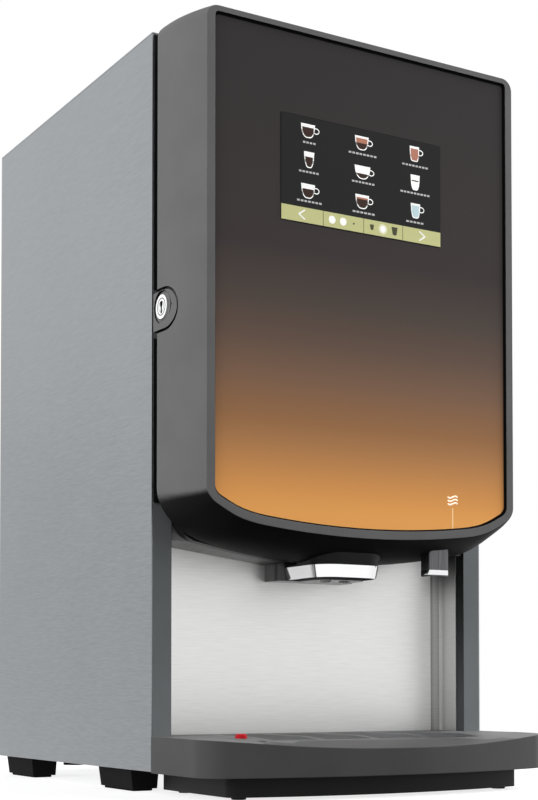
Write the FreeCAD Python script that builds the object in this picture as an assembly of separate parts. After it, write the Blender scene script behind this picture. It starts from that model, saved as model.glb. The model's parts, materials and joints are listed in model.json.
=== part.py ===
import FreeCAD, Part
import math
import os

V = FreeCAD.Vector

# Everything is drawn in millimetres with Y = 0 on the front plane of the cabinet, X = 0 in its middle
# and Z = 0 on the table. The front faces -Y. save() then moves each piece so that the origin lies at the
# bottom centre of the whole machine.

# Overall sizes
WIDTH = 320.0
HEIGHT = 596.0
CABINET_DEPTH = 329.0
CABINET_BOTTOM = 18.0
CABINET_TOP = HEIGHT - 3.0
DOOR_TOP = HEIGHT
TRAY_REACH = 116.0

# Sheet and wall thicknesses
SHEET = 1.2
FRAME_SHEET = 1.5
MOULDED = 2.5
SEAT = 0.3
RUN = 0.05

HALF = WIDTH / 2
INNER = HALF - SHEET
BACK_INNER = CABINET_DEPTH - 2.5 - SHEET
ORIGIN_Y = (TRAY_REACH - CABINET_DEPTH) / 2

# Columns, splash panel and cup bay
COLUMN_WIDTH = 17.7
COLUMN_DEPTH = 36.0
SPLASH_DEPTH = 35.0
SPLASH_BEND = 8.0
SPLASH_RETURN = 9.5
BAY_TOP = 198.0
BAY_HALF = HALF - COLUMN_WIDTH

# Folded mounting wall and shelf
MIXER_WALL = 75.0
SHELF_HEIGHT = 345.0
WALL_TOP = CABINET_TOP - 5.0

# Door
DOOR_GAP = 9.0
DOOR_FRONT = 64.0
DOOR_BOTTOM = 183.0
DOOR_WALL = 3.0
DOOR_SIDE_ARC = 113.0
DOOR_UNDER_ARC = 97.0
DOOR_TOP_CORNER = 10.0
DOOR_FLANK_ARC = 140.0
DOOR_REAR_SHAPE = (560.0, HALF - 42.0, 36.0)
DOOR_FRONT_SHAPE = (800.0, HALF - 65.0, 16.0)
DOOR_FRAME = 7.0
WINDOW_RECESS = 2.5
WINDOW_THICK = 3.0
LINER_BACK = 37.5
LINER_WALL = 2.5
LINER_RIB = 2.4

# Display
DISPLAY_X = -4.0
DISPLAY_Z = 485.0
DISPLAY_WIDTH = 152.0
DISPLAY_HEIGHT = 83.6
DISPLAY_BODY = 15.0

# Hinge
HINGE_X = HALF - 10.0
HINGE_Y = -13.0
HINGE_PIN = 3.0
HINGE_ARM = 3.0
HINGE_ARMS = (DOOR_BOTTOM + 49.0, DOOR_TOP - 14.0)
HINGE_KNUCKLE = 8.0

# Lock
LOCK_Y = -16.0
LOCK_Z = 374.8
LOCK_BARREL = 9.3
LOCK_PLUG = 7.0
LOCK_D_Z = 372.3
LOCK_D_RADIUS = 16.2
LOCK_D_Y = -20.5
LOCK_D_REAR = -1.0
LOCK_CAM_REACH = 20.0
LOCK_CAM_X = -HALF + 23.5
LOCK_CAM_THICK = 3.0
LINER_RIB_HEIGHTS = (DOOR_BOTTOM + 117.0, LOCK_Z + 35.2, DOOR_TOP - 36.0)
SCREW_HEIGHTS = (DOOR_BOTTOM + 48.0, LOCK_Z + 34.2)

# Outlet under the door and hot-water spout
OUTLET_HALF = 32.0
OUTLET_FRONT = 44.0
OUTLET_REAR = 12.0
OUTLET_CORNER = 20.0
OUTLET_BOTTOM = 171.0
OUTLET_TOP = 181.0
OUTLET_WALL = 2.2
TRIM_THICK = 1.0
NOZZLE_HALF = 23.0
NOZZLE_CORNER = 12.0
NOZZLE_BOTTOM = 169.5
NOZZLE_TOP = 186.0
NOZZLE_Y = -14.0
NOZZLE_PITCH = 18.0
NOZZLE_ARM = 38.0
SPOUT_X = 80.0
SPOUT_Y = -43.0
SPOUT_WIDTH = 20.0
SPOUT_DEPTH = 13.0
SPOUT_BOTTOM = 174.5
SPOUT_TIP = 4.0
SPOUT_HOLE = 4.2

# Canisters
CANISTER_PITCH = HALF - 24.0
CANISTER_WIDTH = CANISTER_PITCH - 6.0
CANISTER_FRONT = 26.0
CANISTER_TOP = CABINET_TOP - 21.0
CANISTER_WALL_THICK = 2.5
AUGER_HEIGHT = 373.0
AUGER_RADIUS = 15.5
TROUGH_RADIUS = 17.0
HOPPER_HEIGHT = 425.0
CANISTER_TUBE = 19.0
TUBE_REACH = 10.0
CHUTE_HALF = 14.0
AUGER_PITCH = 24.0
AUGER_SHAFT = 3.0

# Mixing bowls
MIXER_HEIGHT = 256.0
CHAMBER_RADIUS = 24.0
CHAMBER_FRONT = 8.0
FUNNEL_Y = 20.0
FUNNEL_TOP = 320.0
FUNNEL_RADIUS = 33.0
THROAT_RADIUS = 13.0
THROAT_HEIGHT = FUNNEL_TOP - 48.0
RING_RADIUS = 31.0
IMPELLER_RADIUS = 17.0
IMPELLER_DEPTH = 14.0
MOTOR_RADIUS = 26.0
MOTOR_LENGTH = 62.0
MIXER_BOSS = 12.0
AUGER_BOSS = 10.0

# Water system
TANK_RADIUS = 56.0
TANK_BOTTOM = SHELF_HEIGHT + 7.0
TANK_TOP = CABINET_TOP - 48.0
TANK_WALL = 1.5
TANK_RIM = 5.0
LID_THICK = 3.0
BRACKET_HALF = 46.0
PROBE_LENGTH = 120.0
TERMINAL_X = 14.0
TERMINAL_FORWARD = 22.0
LID_ENTRY = 9.0
VALVE_PITCH = 34.0
VALVE_STUB = 22.0
STUB_DROP = 4.0
HOSE_RADIUS = 5.0
DRINK_HOSE_RADIUS = 4.5
INLET_X = -HALF + 48.0
INLET_Z = 74.0
INLET_RADIUS = 13.2

# Steam fan
FAN_RADIUS = 23.0
FAN_FRAME = 54.0
FAN_DEPTH = 26.0
FAN_PIN = 2.0
FAN_HUB = 14.0

# Feet
FOOT_WIDTH = 25.0
FOOT_LENGTH = 63.0
FOOT_OUTER = HALF - 5.0
FOOT_STARTS = (46.0, CABINET_DEPTH - 72.0)
FOOT_PAD = 1.8

# Drip tray
TRAY_TOP = 45.0
TRAY_BAND_BOTTOM = 17.0
TRAY_SIDE_END = 70.0
TRAY_CORNER = 26.0
TRAY_WALL = 3.0
TRAY_REAR_HALF = BAY_HALF - 3.3
TRAY_REAR = 32.0
SCOOP_START = 45.0
SCOOP_CREASE = (85.0, 2.4)
SCOOP_FRONT = (TRAY_REACH, 7.5)
BASIN_HALF = BAY_HALF - 6.9
BASIN_BOTTOM = 2.0
BASIN_FRONT_INSET = 16.0
BASIN_SIDE_END = 73.0
BASIN_CORNER = 9.0
BASIN_FOOT = 5.6
GRID_HALF = HALF - 60.0
GRID_FRONT = 80.0
GRID_REAR = 20.0
GRID_THICK = 5.0
GRID_SLOTS = 14
FLOAT_X = -HALF + 49.5
FLOAT_Y = -53.6
FLOAT_STEM = 4.5
FLOAT_TOP = 48.0
DECK_HOLES = ((-HALF + 50.0, -84.5, 3.3), (-HALF + 36.0, -60.0, 1.2))

# Sizes that follow from the ones above
TANK_Y = BACK_INNER - TANK_RADIUS - TANK_RIM - SEAT
CANISTER_WALL = TANK_Y - TANK_RADIUS - 13.0
CANISTER_BACK = CANISTER_WALL - 5.0
FAN_HEIGHT = SHELF_HEIGHT - FAN_FRAME / 2 - 7.0
INLET_FACE = BACK_INNER - 11.0
INLET_BODY = 36.0
INLET_STUB = 20.0
DRAIN_X = INLET_X + 7.0
DRAIN_Y = INLET_FACE - 38.3
BOARD_Y = (CANISTER_WALL + 17.0, BACK_INNER - 13.3)
BOARD_Z = (CABINET_TOP - 233.0, CABINET_TOP - 73.0)
BOARD_THICK = 1.6
CORE_X = (HALF - 90.0, HALF - 34.0)
CORE_Y = (190.0, 238.0)
CORE_HEIGHT = 46.0
CORE_LIMB = 10.0
POWER_Z = 70.0
POWER_CUT = (HALF - 110.0, HALF - 56.0)
SOCKET_X = POWER_CUT[1] - 16.0
ROCKER_X = POWER_CUT[0] + 12.0
ROCKER_TILT = 7.0
ROCKER_PIVOT = 5.0
SKIRT_IN = CANISTER_WIDTH / 2 - CANISTER_WALL_THICK - 4
STUB_X = CANISTER_PITCH / 2 - 14.0
STUB_Z = 303.0
STUB_END = 62.0
CHAMBER_REAR = 69.0
BASE_RADIUS = 21.0
SPOUT_STUB_Y = 16.0
SPOUT_STUB_Z = 226.0
IMPELLER_Y = 34.0
DUCT_FRONT = 56.0
DUCT_Z0 = 316.0
DUCT_Z1 = 336.0
DUCT_CUT = (17.0, 5.0)
ELBOW_BOTTOM = 324.0
WATER_X = HALF - 48.0
WATER_Z = 214.0
VALVE_Z = TANK_BOTTOM - 13.0
INLET_HOSE_X = -36.0
KNUCKLE_LENGTH = 7.5
HOSE_SLOT = 26.0
LEDGE = 3.0
BASIN_WALL = 2.2
FLOAT_REST = BASIN_BOTTOM + 4.0

os.makedirs("parts", exist_ok=True)


def save(name, *shapes):
    """Write one sub-part, its solids side by side, in the frame of the whole machine."""
    solids = []
    for shape in shapes:
        solids += shape.Solids
    group = Part.makeCompound(solids) if len(solids) > 1 else solids[0]
    group = group.copy()
    group.translate(V(0, ORIGIN_Y, 0))
    group.exportStep("parts/" + name + ".step")
    print(name, len(solids), "solids", round(sum(s.Volume for s in solids) / 1000, 1), "cm3", group.isValid())


def box(x0, x1, y0, y1, z0, z1):
    """Block between two values on each axis."""
    return Part.makeBox(x1 - x0, y1 - y0, z1 - z0, V(x0, y0, z0))


def rod(radius, length, x, y, z, axis):
    """Cylinder that starts at a point and runs along an axis."""
    return Part.makeCylinder(radius, length, V(x, y, z), axis)


def along_y(radius, x, z, y0, y1):
    """Cylinder parallel to Y between two depths."""
    return rod(radius, y1 - y0, x, y0, z, V(0, 1, 0))


def along_z(radius, x, y, z0, z1):
    """Cylinder parallel to Z between two heights."""
    return rod(radius, z1 - z0, x, y, z0, V(0, 0, 1))


def along_x(radius, y, z, x0, x1):
    """Cylinder parallel to X between two sides."""
    return rod(radius, x1 - x0, x0, y, z, V(1, 0, 0))


def fuse(shapes):
    """One solid from pieces that touch or overlap."""
    return shapes[0].multiFuse(shapes[1:]).removeSplitter()


def prism(points, axis, start, end):
    """Extrude a polygon, given in the plane across an axis, from one value on that axis to another."""
    if axis == "X":
        corners = [V(start, a, b) for a, b in points]
        way = V(end - start, 0, 0)
    elif axis == "Y":
        corners = [V(a, start, b) for a, b in points]
        way = V(0, end - start, 0)
    else:
        corners = [V(a, b, start) for a, b in points]
        way = V(0, 0, end - start)
    return Part.Face(Part.makePolygon(corners + corners[:1])).extrude(way)


def rounded_plate(x0, x1, y0, y1, z0, z1, radius):
    """Block with rounded upright edges."""
    block = box(x0, x1, y0, y1, z0, z1)
    upright = [e for e in block.Edges if abs(e.Vertexes[0].Z - e.Vertexes[1].Z) > 1e-6]
    return block.makeFillet(radius, upright)


def rounded_box_y(x0, x1, z0, z1, y0, y1, radius):
    """Block with the edges along Y rounded."""
    block = box(x0, x1, y0, y1, z0, z1)
    edges = [e for e in block.Edges if abs(e.Vertexes[0].Y - e.Vertexes[1].Y) > 1e-6]
    return block.makeFillet(radius, edges)


def mirrored(shape):
    """Copy on the other side of the machine."""
    return shape.mirror(V(0, 0, 0), V(1, 0, 0))


def arc(a, b, c):
    """Arc through three points."""
    return Part.Arc(a, b, c).toShape()


def pipe_route(points):
    """Path of straight runs joined by tangent arcs, each as large as its two runs allow."""
    points = [V(*p) for p in points]
    edges = []
    last = points[0]
    for i in range(1, len(points) - 1):
        before = points[i] - points[i - 1]
        after = points[i + 1] - points[i]
        half_turn = before.getAngle(after) / 2
        reach = 0.45 * min(before.Length, after.Length)
        before.normalize()
        after.normalize()
        start = points[i] - before * reach
        end = points[i] + after * reach
        inward = (after - before).normalize()
        radius = reach / math.tan(half_turn)
        middle = points[i] + inward * (radius / math.cos(half_turn) - radius)
        edges.append(Part.LineSegment(last, start).toShape())
        edges.append(arc(start, middle, end))
        last = end
    edges.append(Part.LineSegment(last, points[-1]).toShape())
    return Part.Wire(edges)


def pipe(points, radius, bore=0.0, bore_depth=0.0):
    """Round tube along a route, bored at its last end where that end shows."""
    path = pipe_route(points)
    first = V(*points[0])
    way = V(*points[1]) - first
    circle = Part.Wire(Part.makeCircle(radius, first, way))
    tube = path.makePipeShell([circle], True, False)
    if bore > 0:
        end = V(*points[-1])
        back = (V(*points[-2]) - end).normalize()
        tube = tube.cut(Part.makeCylinder(bore, bore_depth, end, back))
    return tube


def arc_inset(distance, radius):
    """How far an arc that starts tangent has come in after a distance."""
    return radius - math.sqrt(radius ** 2 - distance ** 2)


def door_section(y, inset=0.0):
    """Closed outline of the door across Y at one depth, drawn in by an even inset."""
    forward = max(0.0, -y - DOOR_GAP)
    share = forward / (DOOR_FRONT - DOOR_GAP)
    half = HALF - arc_inset(forward, DOOR_SIDE_ARC)
    bottom = DOOR_BOTTOM + arc_inset(forward, DOOR_UNDER_ARC)
    mid_r, mid_x, corner_r = [a + (b - a) * share for a, b in zip(DOOR_REAR_SHAPE, DOOR_FRONT_SHAPE)]
    sin_mid = mid_x / mid_r
    cos_mid = math.sqrt(1 - sin_mid ** 2)
    flank_x = mid_x - DOOR_FLANK_ARC * sin_mid
    flank_z = bottom + mid_r * (1 - cos_mid) + DOOR_FLANK_ARC * cos_mid
    sin_flank = (half - flank_x - corner_r) / (DOOR_FLANK_ARC - corner_r)
    cos_flank = math.sqrt(1 - sin_flank ** 2)
    corner_x = half - corner_r
    corner_z = flank_z - (DOOR_FLANK_ARC - corner_r) * cos_flank

    def on_arc(cx, cz, radius, sine):
        return V(cx + (radius - inset) * sine, y, cz - (radius - inset) * math.sqrt(1 - sine ** 2))

    def flip(point):
        return V(-point.x, point.y, point.z)

    low = V(0, y, bottom + inset)
    mid_end = on_arc(0, bottom + mid_r, mid_r, sin_mid)
    flank_mid = on_arc(flank_x, flank_z, DOOR_FLANK_ARC, (sin_mid + sin_flank) / 2)
    flank_end = on_arc(corner_x, corner_z, corner_r, sin_flank)
    corner_mid = on_arc(corner_x, corner_z, corner_r, (sin_flank + 1) / 2)
    side_low = on_arc(corner_x, corner_z, corner_r, 1.0)
    top_z = DOOR_TOP - DOOR_TOP_CORNER
    top_x = half - DOOR_TOP_CORNER
    top_r = DOOR_TOP_CORNER - inset
    side_high = V(half - inset, y, top_z)
    top_mid = V(top_x + top_r * math.sqrt(0.5), y, top_z + top_r * math.sqrt(0.5))
    top_end = V(top_x, y, DOOR_TOP - inset)
    edges = [
        arc(flip(mid_end), low, mid_end),
        arc(mid_end, flank_mid, flank_end),
        arc(flank_end, corner_mid, side_low),
        Part.LineSegment(side_low, side_high).toShape(),
        arc(side_high, top_mid, top_end),
        Part.LineSegment(top_end, flip(top_end)).toShape(),
        arc(flip(top_end), flip(top_mid), flip(side_high)),
        Part.LineSegment(flip(side_high), flip(side_low)).toShape(),
        arc(flip(side_low), flip(corner_mid), flip(flank_end)),
        arc(flip(flank_end), flip(flank_mid), flip(mid_end)),
    ]
    return Part.Wire(edges)


def door_block(y0, y1, inset=0.0, steps=4):
    """Solid of the door's outer form between two depths, from front y0 to back y1."""
    curved_end = min(y1, -DOOR_GAP)
    depths = [y0 + (curved_end - y0) * i / steps for i in range(steps + 1)]
    block = Part.makeLoft([door_section(y, inset) for y in depths], True, False)
    if y1 > -DOOR_GAP:
        tail = Part.Face(door_section(-DOOR_GAP, inset)).extrude(V(0, y1 + DOOR_GAP, 0))
        block = block.fuse(tail)
    return block


def plan_outline(z, half, side_end, corner, apex, rear_half, rear, shoulder, inset=0.0):
    """Tray outline seen from above: straight sides, round front corners, a bowed front, a narrower back."""
    half -= inset
    corner -= inset
    apex -= inset
    rear_half -= inset
    corner_x = half - corner
    rise = apex - side_end
    bow = ((corner_x ** 2) + rise ** 2 - corner ** 2) / (2 * (rise - corner))
    centre_y = -(apex - bow)
    sine = corner_x / (bow - corner)
    cosine = math.sqrt(1 - sine ** 2)
    join = V(bow * sine, centre_y - bow * cosine, z)
    spread = (math.pi / 2 + math.asin(sine)) / 2
    bend = V(corner_x + corner * math.sin(spread), -side_end - corner * math.cos(spread), z)
    side_front = V(half, -side_end, z)
    side_back = V(half, -shoulder - inset, z)
    step = V(rear_half, -shoulder - inset, z)
    back = V(rear_half, rear - inset, z)

    def flip(point):
        return V(-point.x, point.y, point.z)

    edges = [
        arc(flip(join), V(0, -apex, z), join),
        arc(join, bend, side_front),
        Part.LineSegment(side_front, side_back).toShape(),
        Part.LineSegment(side_back, step).toShape(),
        Part.LineSegment(step, back).toShape(),
        Part.LineSegment(back, flip(back)).toShape(),
        Part.LineSegment(flip(back), flip(step)).toShape(),
        Part.LineSegment(flip(step), flip(side_back)).toShape(),
        Part.LineSegment(flip(side_back), flip(side_front)).toShape(),
        arc(flip(side_front), flip(bend), flip(join)),
    ]
    return Part.Wire(edges)


def tray_block(z0, z1, inset=0.0):
    """Solid with the outer form of the tray rim."""
    wire = plan_outline(z0, HALF, TRAY_SIDE_END, TRAY_CORNER, TRAY_REACH, TRAY_REAR_HALF, TRAY_REAR, 0.0, inset)
    return Part.Face(wire).extrude(V(0, 0, z1 - z0))


def basin_block(z0, z1, inset=0.0):
    """Solid with the outer form of the basin: straight sides between the columns and a bowed front."""
    apex = TRAY_REACH - BASIN_FRONT_INSET
    wire = plan_outline(z0, BASIN_HALF, BASIN_SIDE_END, BASIN_CORNER, apex, BASIN_HALF - SEAT, TRAY_REAR - 4.0,
                        0.0, inset)
    return Part.Face(wire).extrude(V(0, 0, z1 - z0))


# Cabinet

def make_base_plate():
    """Bottom sheet with folded edges, open in front for the back of the drip tray."""
    top = CABINET_BOTTOM + FRAME_SHEET
    plate = box(-INNER, INNER, 0, CABINET_DEPTH - SHEET, CABINET_BOTTOM, top)
    plate = plate.cut(box(-BAY_HALF, BAY_HALF, -1, SPLASH_DEPTH, CABINET_BOTTOM - 1, top + 1))
    right = box(INNER - FRAME_SHEET, INNER, COLUMN_DEPTH, BACK_INNER, top, top + 14)
    rear = box(-INNER, INNER, BACK_INNER - FRAME_SHEET, BACK_INNER, top, top + 14)
    plate = fuse([plate, right, mirrored(right), rear])
    for i in range(6):
        x = -60 + 24 * i
        plate = plate.cut(rounded_plate(x - 3, x + 3, 110, 150, CABINET_BOTTOM - 1, top + 1, 2.9))
    plate = plate.cut(along_z(7.0, DRAIN_X, DRAIN_Y, CABINET_BOTTOM - 1, top + 1))
    return plate


def make_side_panel():
    """Right-hand side sheet, from the front plane to the rear edge."""
    return box(INNER, HALF, 0, CABINET_DEPTH, CABINET_BOTTOM, CABINET_TOP)


def make_back_panel():
    """Rear sheet with rows of slots and the two cut-outs for water and power."""
    sheet = box(-INNER, INNER, BACK_INNER, BACK_INNER + SHEET, CABINET_BOTTOM + FRAME_SHEET, CABINET_TOP)
    for side in (-1, 1):
        for i in range(7):
            x = side * 92
            z = 470 + 12 * i
            slot = rounded_box_y(x - 26, x + 26, z - 2, z + 2, BACK_INNER - 1, BACK_INNER + SHEET + 1, 1.9)
            sheet = sheet.cut(slot)
    sheet = sheet.cut(along_y(19.0, INLET_X, INLET_Z, BACK_INNER - 1, BACK_INNER + SHEET + 1))
    sheet = sheet.cut(box(*POWER_CUT, BACK_INNER - 1, BACK_INNER + SHEET + 1, POWER_Z - 15, POWER_Z + 15))
    return sheet


def make_top_cover():
    """Flat cover with lips folded down inside the sides and the back."""
    top = CABINET_TOP + SHEET
    sheet = box(-HALF, HALF, 0, CABINET_DEPTH, CABINET_TOP, top)
    lip = box(INNER - SHEET, INNER, 30, BACK_INNER - 2, CABINET_TOP - 12, CABINET_TOP)
    front = box(-BAY_HALF, BAY_HALF, 0, SHEET, CABINET_TOP - 6, CABINET_TOP)
    return fuse([sheet, lip, mirrored(lip), front])


def make_column():
    """Right-hand front upright: face, outer leg along the side sheet and inner leg along the cup bay."""
    bottom = CABINET_BOTTOM + FRAME_SHEET
    top = CABINET_TOP
    face = box(BAY_HALF, INNER, 0, FRAME_SHEET, bottom, top)
    outer = box(INNER - FRAME_SHEET, INNER, FRAME_SHEET, 22, bottom, top)
    inner = box(BAY_HALF, BAY_HALF + FRAME_SHEET, FRAME_SHEET, COLUMN_DEPTH, bottom, top)
    return fuse([face, outer, inner])


def make_splash_panel():
    """Bright sheet across the cup bay with rounded bends and a return along each column."""
    outer_half = BAY_HALF - 0.3
    t = SHEET
    r = SPLASH_BEND
    front = SPLASH_DEPTH
    c = math.sqrt(0.5)
    z = CABINET_BOTTOM + FRAME_SHEET
    cx = outer_half - t - r
    cy = front - r
    edges = [
        Part.LineSegment(V(-cx, front, z), V(cx, front, z)).toShape(),
        arc(V(cx, front, z), V(cx + r * c, cy + r * c, z), V(cx + r, cy, z)),
        Part.LineSegment(V(cx + r, cy, z), V(cx + r, SPLASH_RETURN, z)).toShape(),
        Part.LineSegment(V(cx + r, SPLASH_RETURN, z), V(cx + r + t, SPLASH_RETURN, z)).toShape(),
        Part.LineSegment(V(cx + r + t, SPLASH_RETURN, z), V(cx + r + t, cy, z)).toShape(),
        arc(V(cx + r + t, cy, z), V(cx + (r + t) * c, cy + (r + t) * c, z), V(cx, front + t, z)),
        Part.LineSegment(V(cx, front + t, z), V(-cx, front + t, z)).toShape(),
        arc(V(-cx, front + t, z), V(-cx - (r + t) * c, cy + (r + t) * c, z), V(-cx - r - t, cy, z)),
        Part.LineSegment(V(-cx - r - t, cy, z), V(-cx - r - t, SPLASH_RETURN, z)).toShape(),
        Part.LineSegment(V(-cx - r - t, SPLASH_RETURN, z), V(-cx - r, SPLASH_RETURN, z)).toShape(),
        Part.LineSegment(V(-cx - r, SPLASH_RETURN, z), V(-cx - r, cy, z)).toShape(),
        arc(V(-cx - r, cy, z), V(-cx - r * c, cy + r * c, z), V(-cx, front, z)),
    ]
    return Part.Face(Part.Wire(edges)).extrude(V(0, 0, BAY_TOP - z))


def make_mounting_wall():
    """One folded sheet: roof of the cup bay, mixer wall, step under the canisters and canister wall."""
    t = FRAME_SHEET
    profile = [
        (3, BAY_TOP), (MIXER_WALL + t, BAY_TOP), (MIXER_WALL + t, SHELF_HEIGHT - t),
        (CANISTER_WALL + t, SHELF_HEIGHT - t), (CANISTER_WALL + t, WALL_TOP), (CANISTER_WALL, WALL_TOP),
        (CANISTER_WALL, SHELF_HEIGHT), (MIXER_WALL, SHELF_HEIGHT), (MIXER_WALL, BAY_TOP + t), (3, BAY_TOP + t),
    ]
    wall = prism(profile, "X", -INNER + FRAME_SHEET, INNER - FRAME_SHEET)
    for side in (-1, 1):
        x0, x1 = sorted((side * (BAY_HALF - 0.3), side * HALF))
        wall = wall.cut(box(x0, x1, 0, COLUMN_DEPTH + 0.5, BAY_TOP - 1, BAY_TOP + t + 1))
        x = side * CANISTER_PITCH / 2
        wall = wall.cut(along_y(MIXER_BOSS + SEAT, x, MIXER_HEIGHT, MIXER_WALL - 1, MIXER_WALL + t + 1))
        wall = wall.cut(along_y(AUGER_BOSS + SEAT, x, AUGER_HEIGHT, CANISTER_WALL - 1, CANISTER_WALL + t + 1))
        wall = wall.cut(along_y(HOSE_RADIUS + 1, side * STUB_X, STUB_Z, MIXER_WALL - 1, MIXER_WALL + t + 1))
    wall = wall.cut(box(-30, 30, 2, 32, BAY_TOP - 1, BAY_TOP + t + 1))
    wall = wall.cut(box(-DUCT_CUT[0] - 2, DUCT_CUT[0] + 2, MIXER_WALL - 1, MIXER_WALL + t + 1,
                        DUCT_Z0 + DUCT_CUT[1] - 2, DUCT_Z1 - DUCT_CUT[1] + 2))
    wall = wall.cut(along_y(HOSE_RADIUS + 1, WATER_X, WATER_Z, MIXER_WALL - 1, MIXER_WALL + t + 1))
    return wall


def make_canister_shelf():
    """Plate that the canisters stand on, with its front and side edges folded down."""
    bottom = SHELF_HEIGHT
    top = bottom + FRAME_SHEET
    half = BAY_HALF - 1
    front = CANISTER_FRONT - 2
    plate = box(-half, half, front, CANISTER_WALL - SEAT, bottom, top)
    lip = box(-half, half, front, front + FRAME_SHEET, bottom - 8, bottom)
    side = box(half - FRAME_SHEET, half, front, MIXER_WALL - 1, bottom - 8, bottom)
    guides = []
    for x in (-CANISTER_PITCH / 2 - SKIRT_IN, -CANISTER_PITCH / 2 + SKIRT_IN,
              CANISTER_PITCH / 2 - SKIRT_IN, CANISTER_PITCH / 2 + SKIRT_IN):
        guides.append(box(x - 1.5, x + 1.5, 60, 170, top, top + 5))
    return fuse([plate, lip, side, mirrored(side)] + guides)


def make_feet():
    """Four tapered blocks, each on a thin pad."""
    solids = []
    for start in FOOT_STARTS:
        for side in (-1, 1):
            x0, x1 = sorted((side * (FOOT_OUTER - FOOT_WIDTH), side * FOOT_OUTER))
            y0, y1 = start, start + FOOT_LENGTH
            low = [V(x0 + 2, y0 + 1, FOOT_PAD), V(x1 - 1, y0 + 1, FOOT_PAD),
                   V(x1 - 1, y1 - 1, FOOT_PAD), V(x0 + 2, y1 - 1, FOOT_PAD)]
            high = [V(x0, y0, CABINET_BOTTOM), V(x1, y0, CABINET_BOTTOM),
                    V(x1, y1, CABINET_BOTTOM), V(x0, y1, CABINET_BOTTOM)]
            wires = [Part.makePolygon(w + w[:1]) for w in (low, high)]
            solids.append(Part.makeLoft(wires, True, True))
            solids.append(rounded_plate(x0 + 3.5, x1 - 3.5, y0 + 3, y1 - 3, 0, FOOT_PAD, 3.0))
    return solids


def make_drain_plug():
    """Plug of the boiler drain, hanging just under the base plate."""
    top = CABINET_BOTTOM + FRAME_SHEET
    head = along_z(10.0, DRAIN_X, DRAIN_Y, CABINET_BOTTOM - 8, CABINET_BOTTOM)
    neck = along_z(6.9, DRAIN_X, DRAIN_Y, CABINET_BOTTOM, top + 6)
    nut = along_z(10.0, DRAIN_X, DRAIN_Y, top, top + 4)
    return fuse([head, neck, nut])


# Hinge

def make_hinge_brackets():
    """Two cranked arms bolted to the right column, each with a pin for the door."""
    solids = []
    for z in HINGE_ARMS:
        top = z + HINGE_ARM
        inner = BAY_HALF
        neck = HINGE_X - 9.5
        plate = box(neck - 14.5, inner, 2, 24, z, top)
        crank = box(neck - 14.5, neck, HINGE_Y - 5.5, 2, z, top)
        tongue = box(neck, HINGE_X, HINGE_Y - 5.5, HINGE_Y + 5.5, z, top)
        nose = along_z(5.5, HINGE_X, HINGE_Y, z, top)
        flange = box(inner - HINGE_ARM, inner, 2, 24, z - 14, top)
        arm = fuse([plate, crank, tongue, nose, flange])
        arm = arm.cut(along_z(HINGE_PIN, HINGE_X, HINGE_Y, z - 1, top + 1))
        solids.append(arm)
        solids.append(along_z(HINGE_PIN, HINGE_X, HINGE_Y, z - 3, top + KNUCKLE_LENGTH - 1.8))
    return solids


# Door

def make_door_shell():
    """Moulded door: curved walls, front frame round the window, hinge knuckles and lock notch."""
    outer = door_block(-DOOR_FRONT, -DOOR_GAP)
    inner = door_block(-DOOR_FRONT + WINDOW_RECESS, 0, DOOR_WALL)
    shell = outer.cut(inner)
    opening = Part.Face(door_section(-DOOR_FRONT, DOOR_FRAME)).extrude(V(0, 2 * WINDOW_RECESS, 0))
    opening.translate(V(0, -1, 0))
    shell = shell.cut(opening)
    for z in HINGE_ARMS:
        low = z + HINGE_ARM + SEAT
        knuckle = along_z(HINGE_KNUCKLE, HINGE_X, HINGE_Y, low, low + KNUCKLE_LENGTH)
        web = box(HINGE_X - HINGE_KNUCKLE, HINGE_X + 8, HINGE_Y - 18, HINGE_Y, low, low + KNUCKLE_LENGTH)
        knuckle = knuckle.fuse(web).common(door_block(-DOOR_FRONT + 5, -DOOR_GAP, 1.0))
        shell = shell.fuse(knuckle)
        shell = shell.cut(along_z(HINGE_PIN + RUN, HINGE_X, HINGE_Y, z, low + KNUCKLE_LENGTH - 1.5))
    shell = shell.cut(lock_block(0.6))
    shell = shell.cut(box(-HOSE_SLOT, HOSE_SLOT, -37, 0, DOOR_BOTTOM - 5, DOOR_BOTTOM + 25))
    shell = shell.cut(along_z(SPOUT_HOLE, SPOUT_X, SPOUT_Y, DOOR_BOTTOM - 5, DOOR_BOTTOM + 30))
    return shell.removeSplitter()


def lock_block(clearance):
    """D-shaped prism of the lock housing, straight at the back and round in front."""
    radius = LOCK_D_RADIUS + clearance
    low = LOCK_D_Z - radius
    high = LOCK_D_Z + radius
    rear = LOCK_D_REAR if clearance == 0 else 5.0
    x0 = -HALF - 5
    wire = Part.Wire([
        Part.LineSegment(V(x0, rear, low), V(x0, LOCK_D_Y, low)).toShape(),
        arc(V(x0, LOCK_D_Y, low), V(x0, LOCK_D_Y - radius, LOCK_D_Z), V(x0, LOCK_D_Y, high)),
        Part.LineSegment(V(x0, LOCK_D_Y, high), V(x0, rear, high)).toShape(),
        Part.LineSegment(V(x0, rear, high), V(x0, rear, low)).toShape(),
    ])
    return Part.Face(wire).extrude(V(28, 0, 0))


def make_front_window():
    """Clear panel behind the front frame, cut out for the display."""
    y = -DOOR_FRONT + WINDOW_RECESS
    panel = Part.Face(door_section(-DOOR_FRONT, DOOR_WALL + SEAT)).extrude(V(0, WINDOW_THICK, 0))
    panel.translate(V(0, WINDOW_RECESS, 0))
    hole = rounded_box_y(DISPLAY_X - DISPLAY_WIDTH / 2 - SEAT, DISPLAY_X + DISPLAY_WIDTH / 2 + SEAT,
                         DISPLAY_Z - DISPLAY_HEIGHT / 2 - SEAT, DISPLAY_Z + DISPLAY_HEIGHT / 2 + SEAT,
                         y - 1, y + WINDOW_THICK + 1, 1.5)
    return panel.cut(hole)


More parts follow.
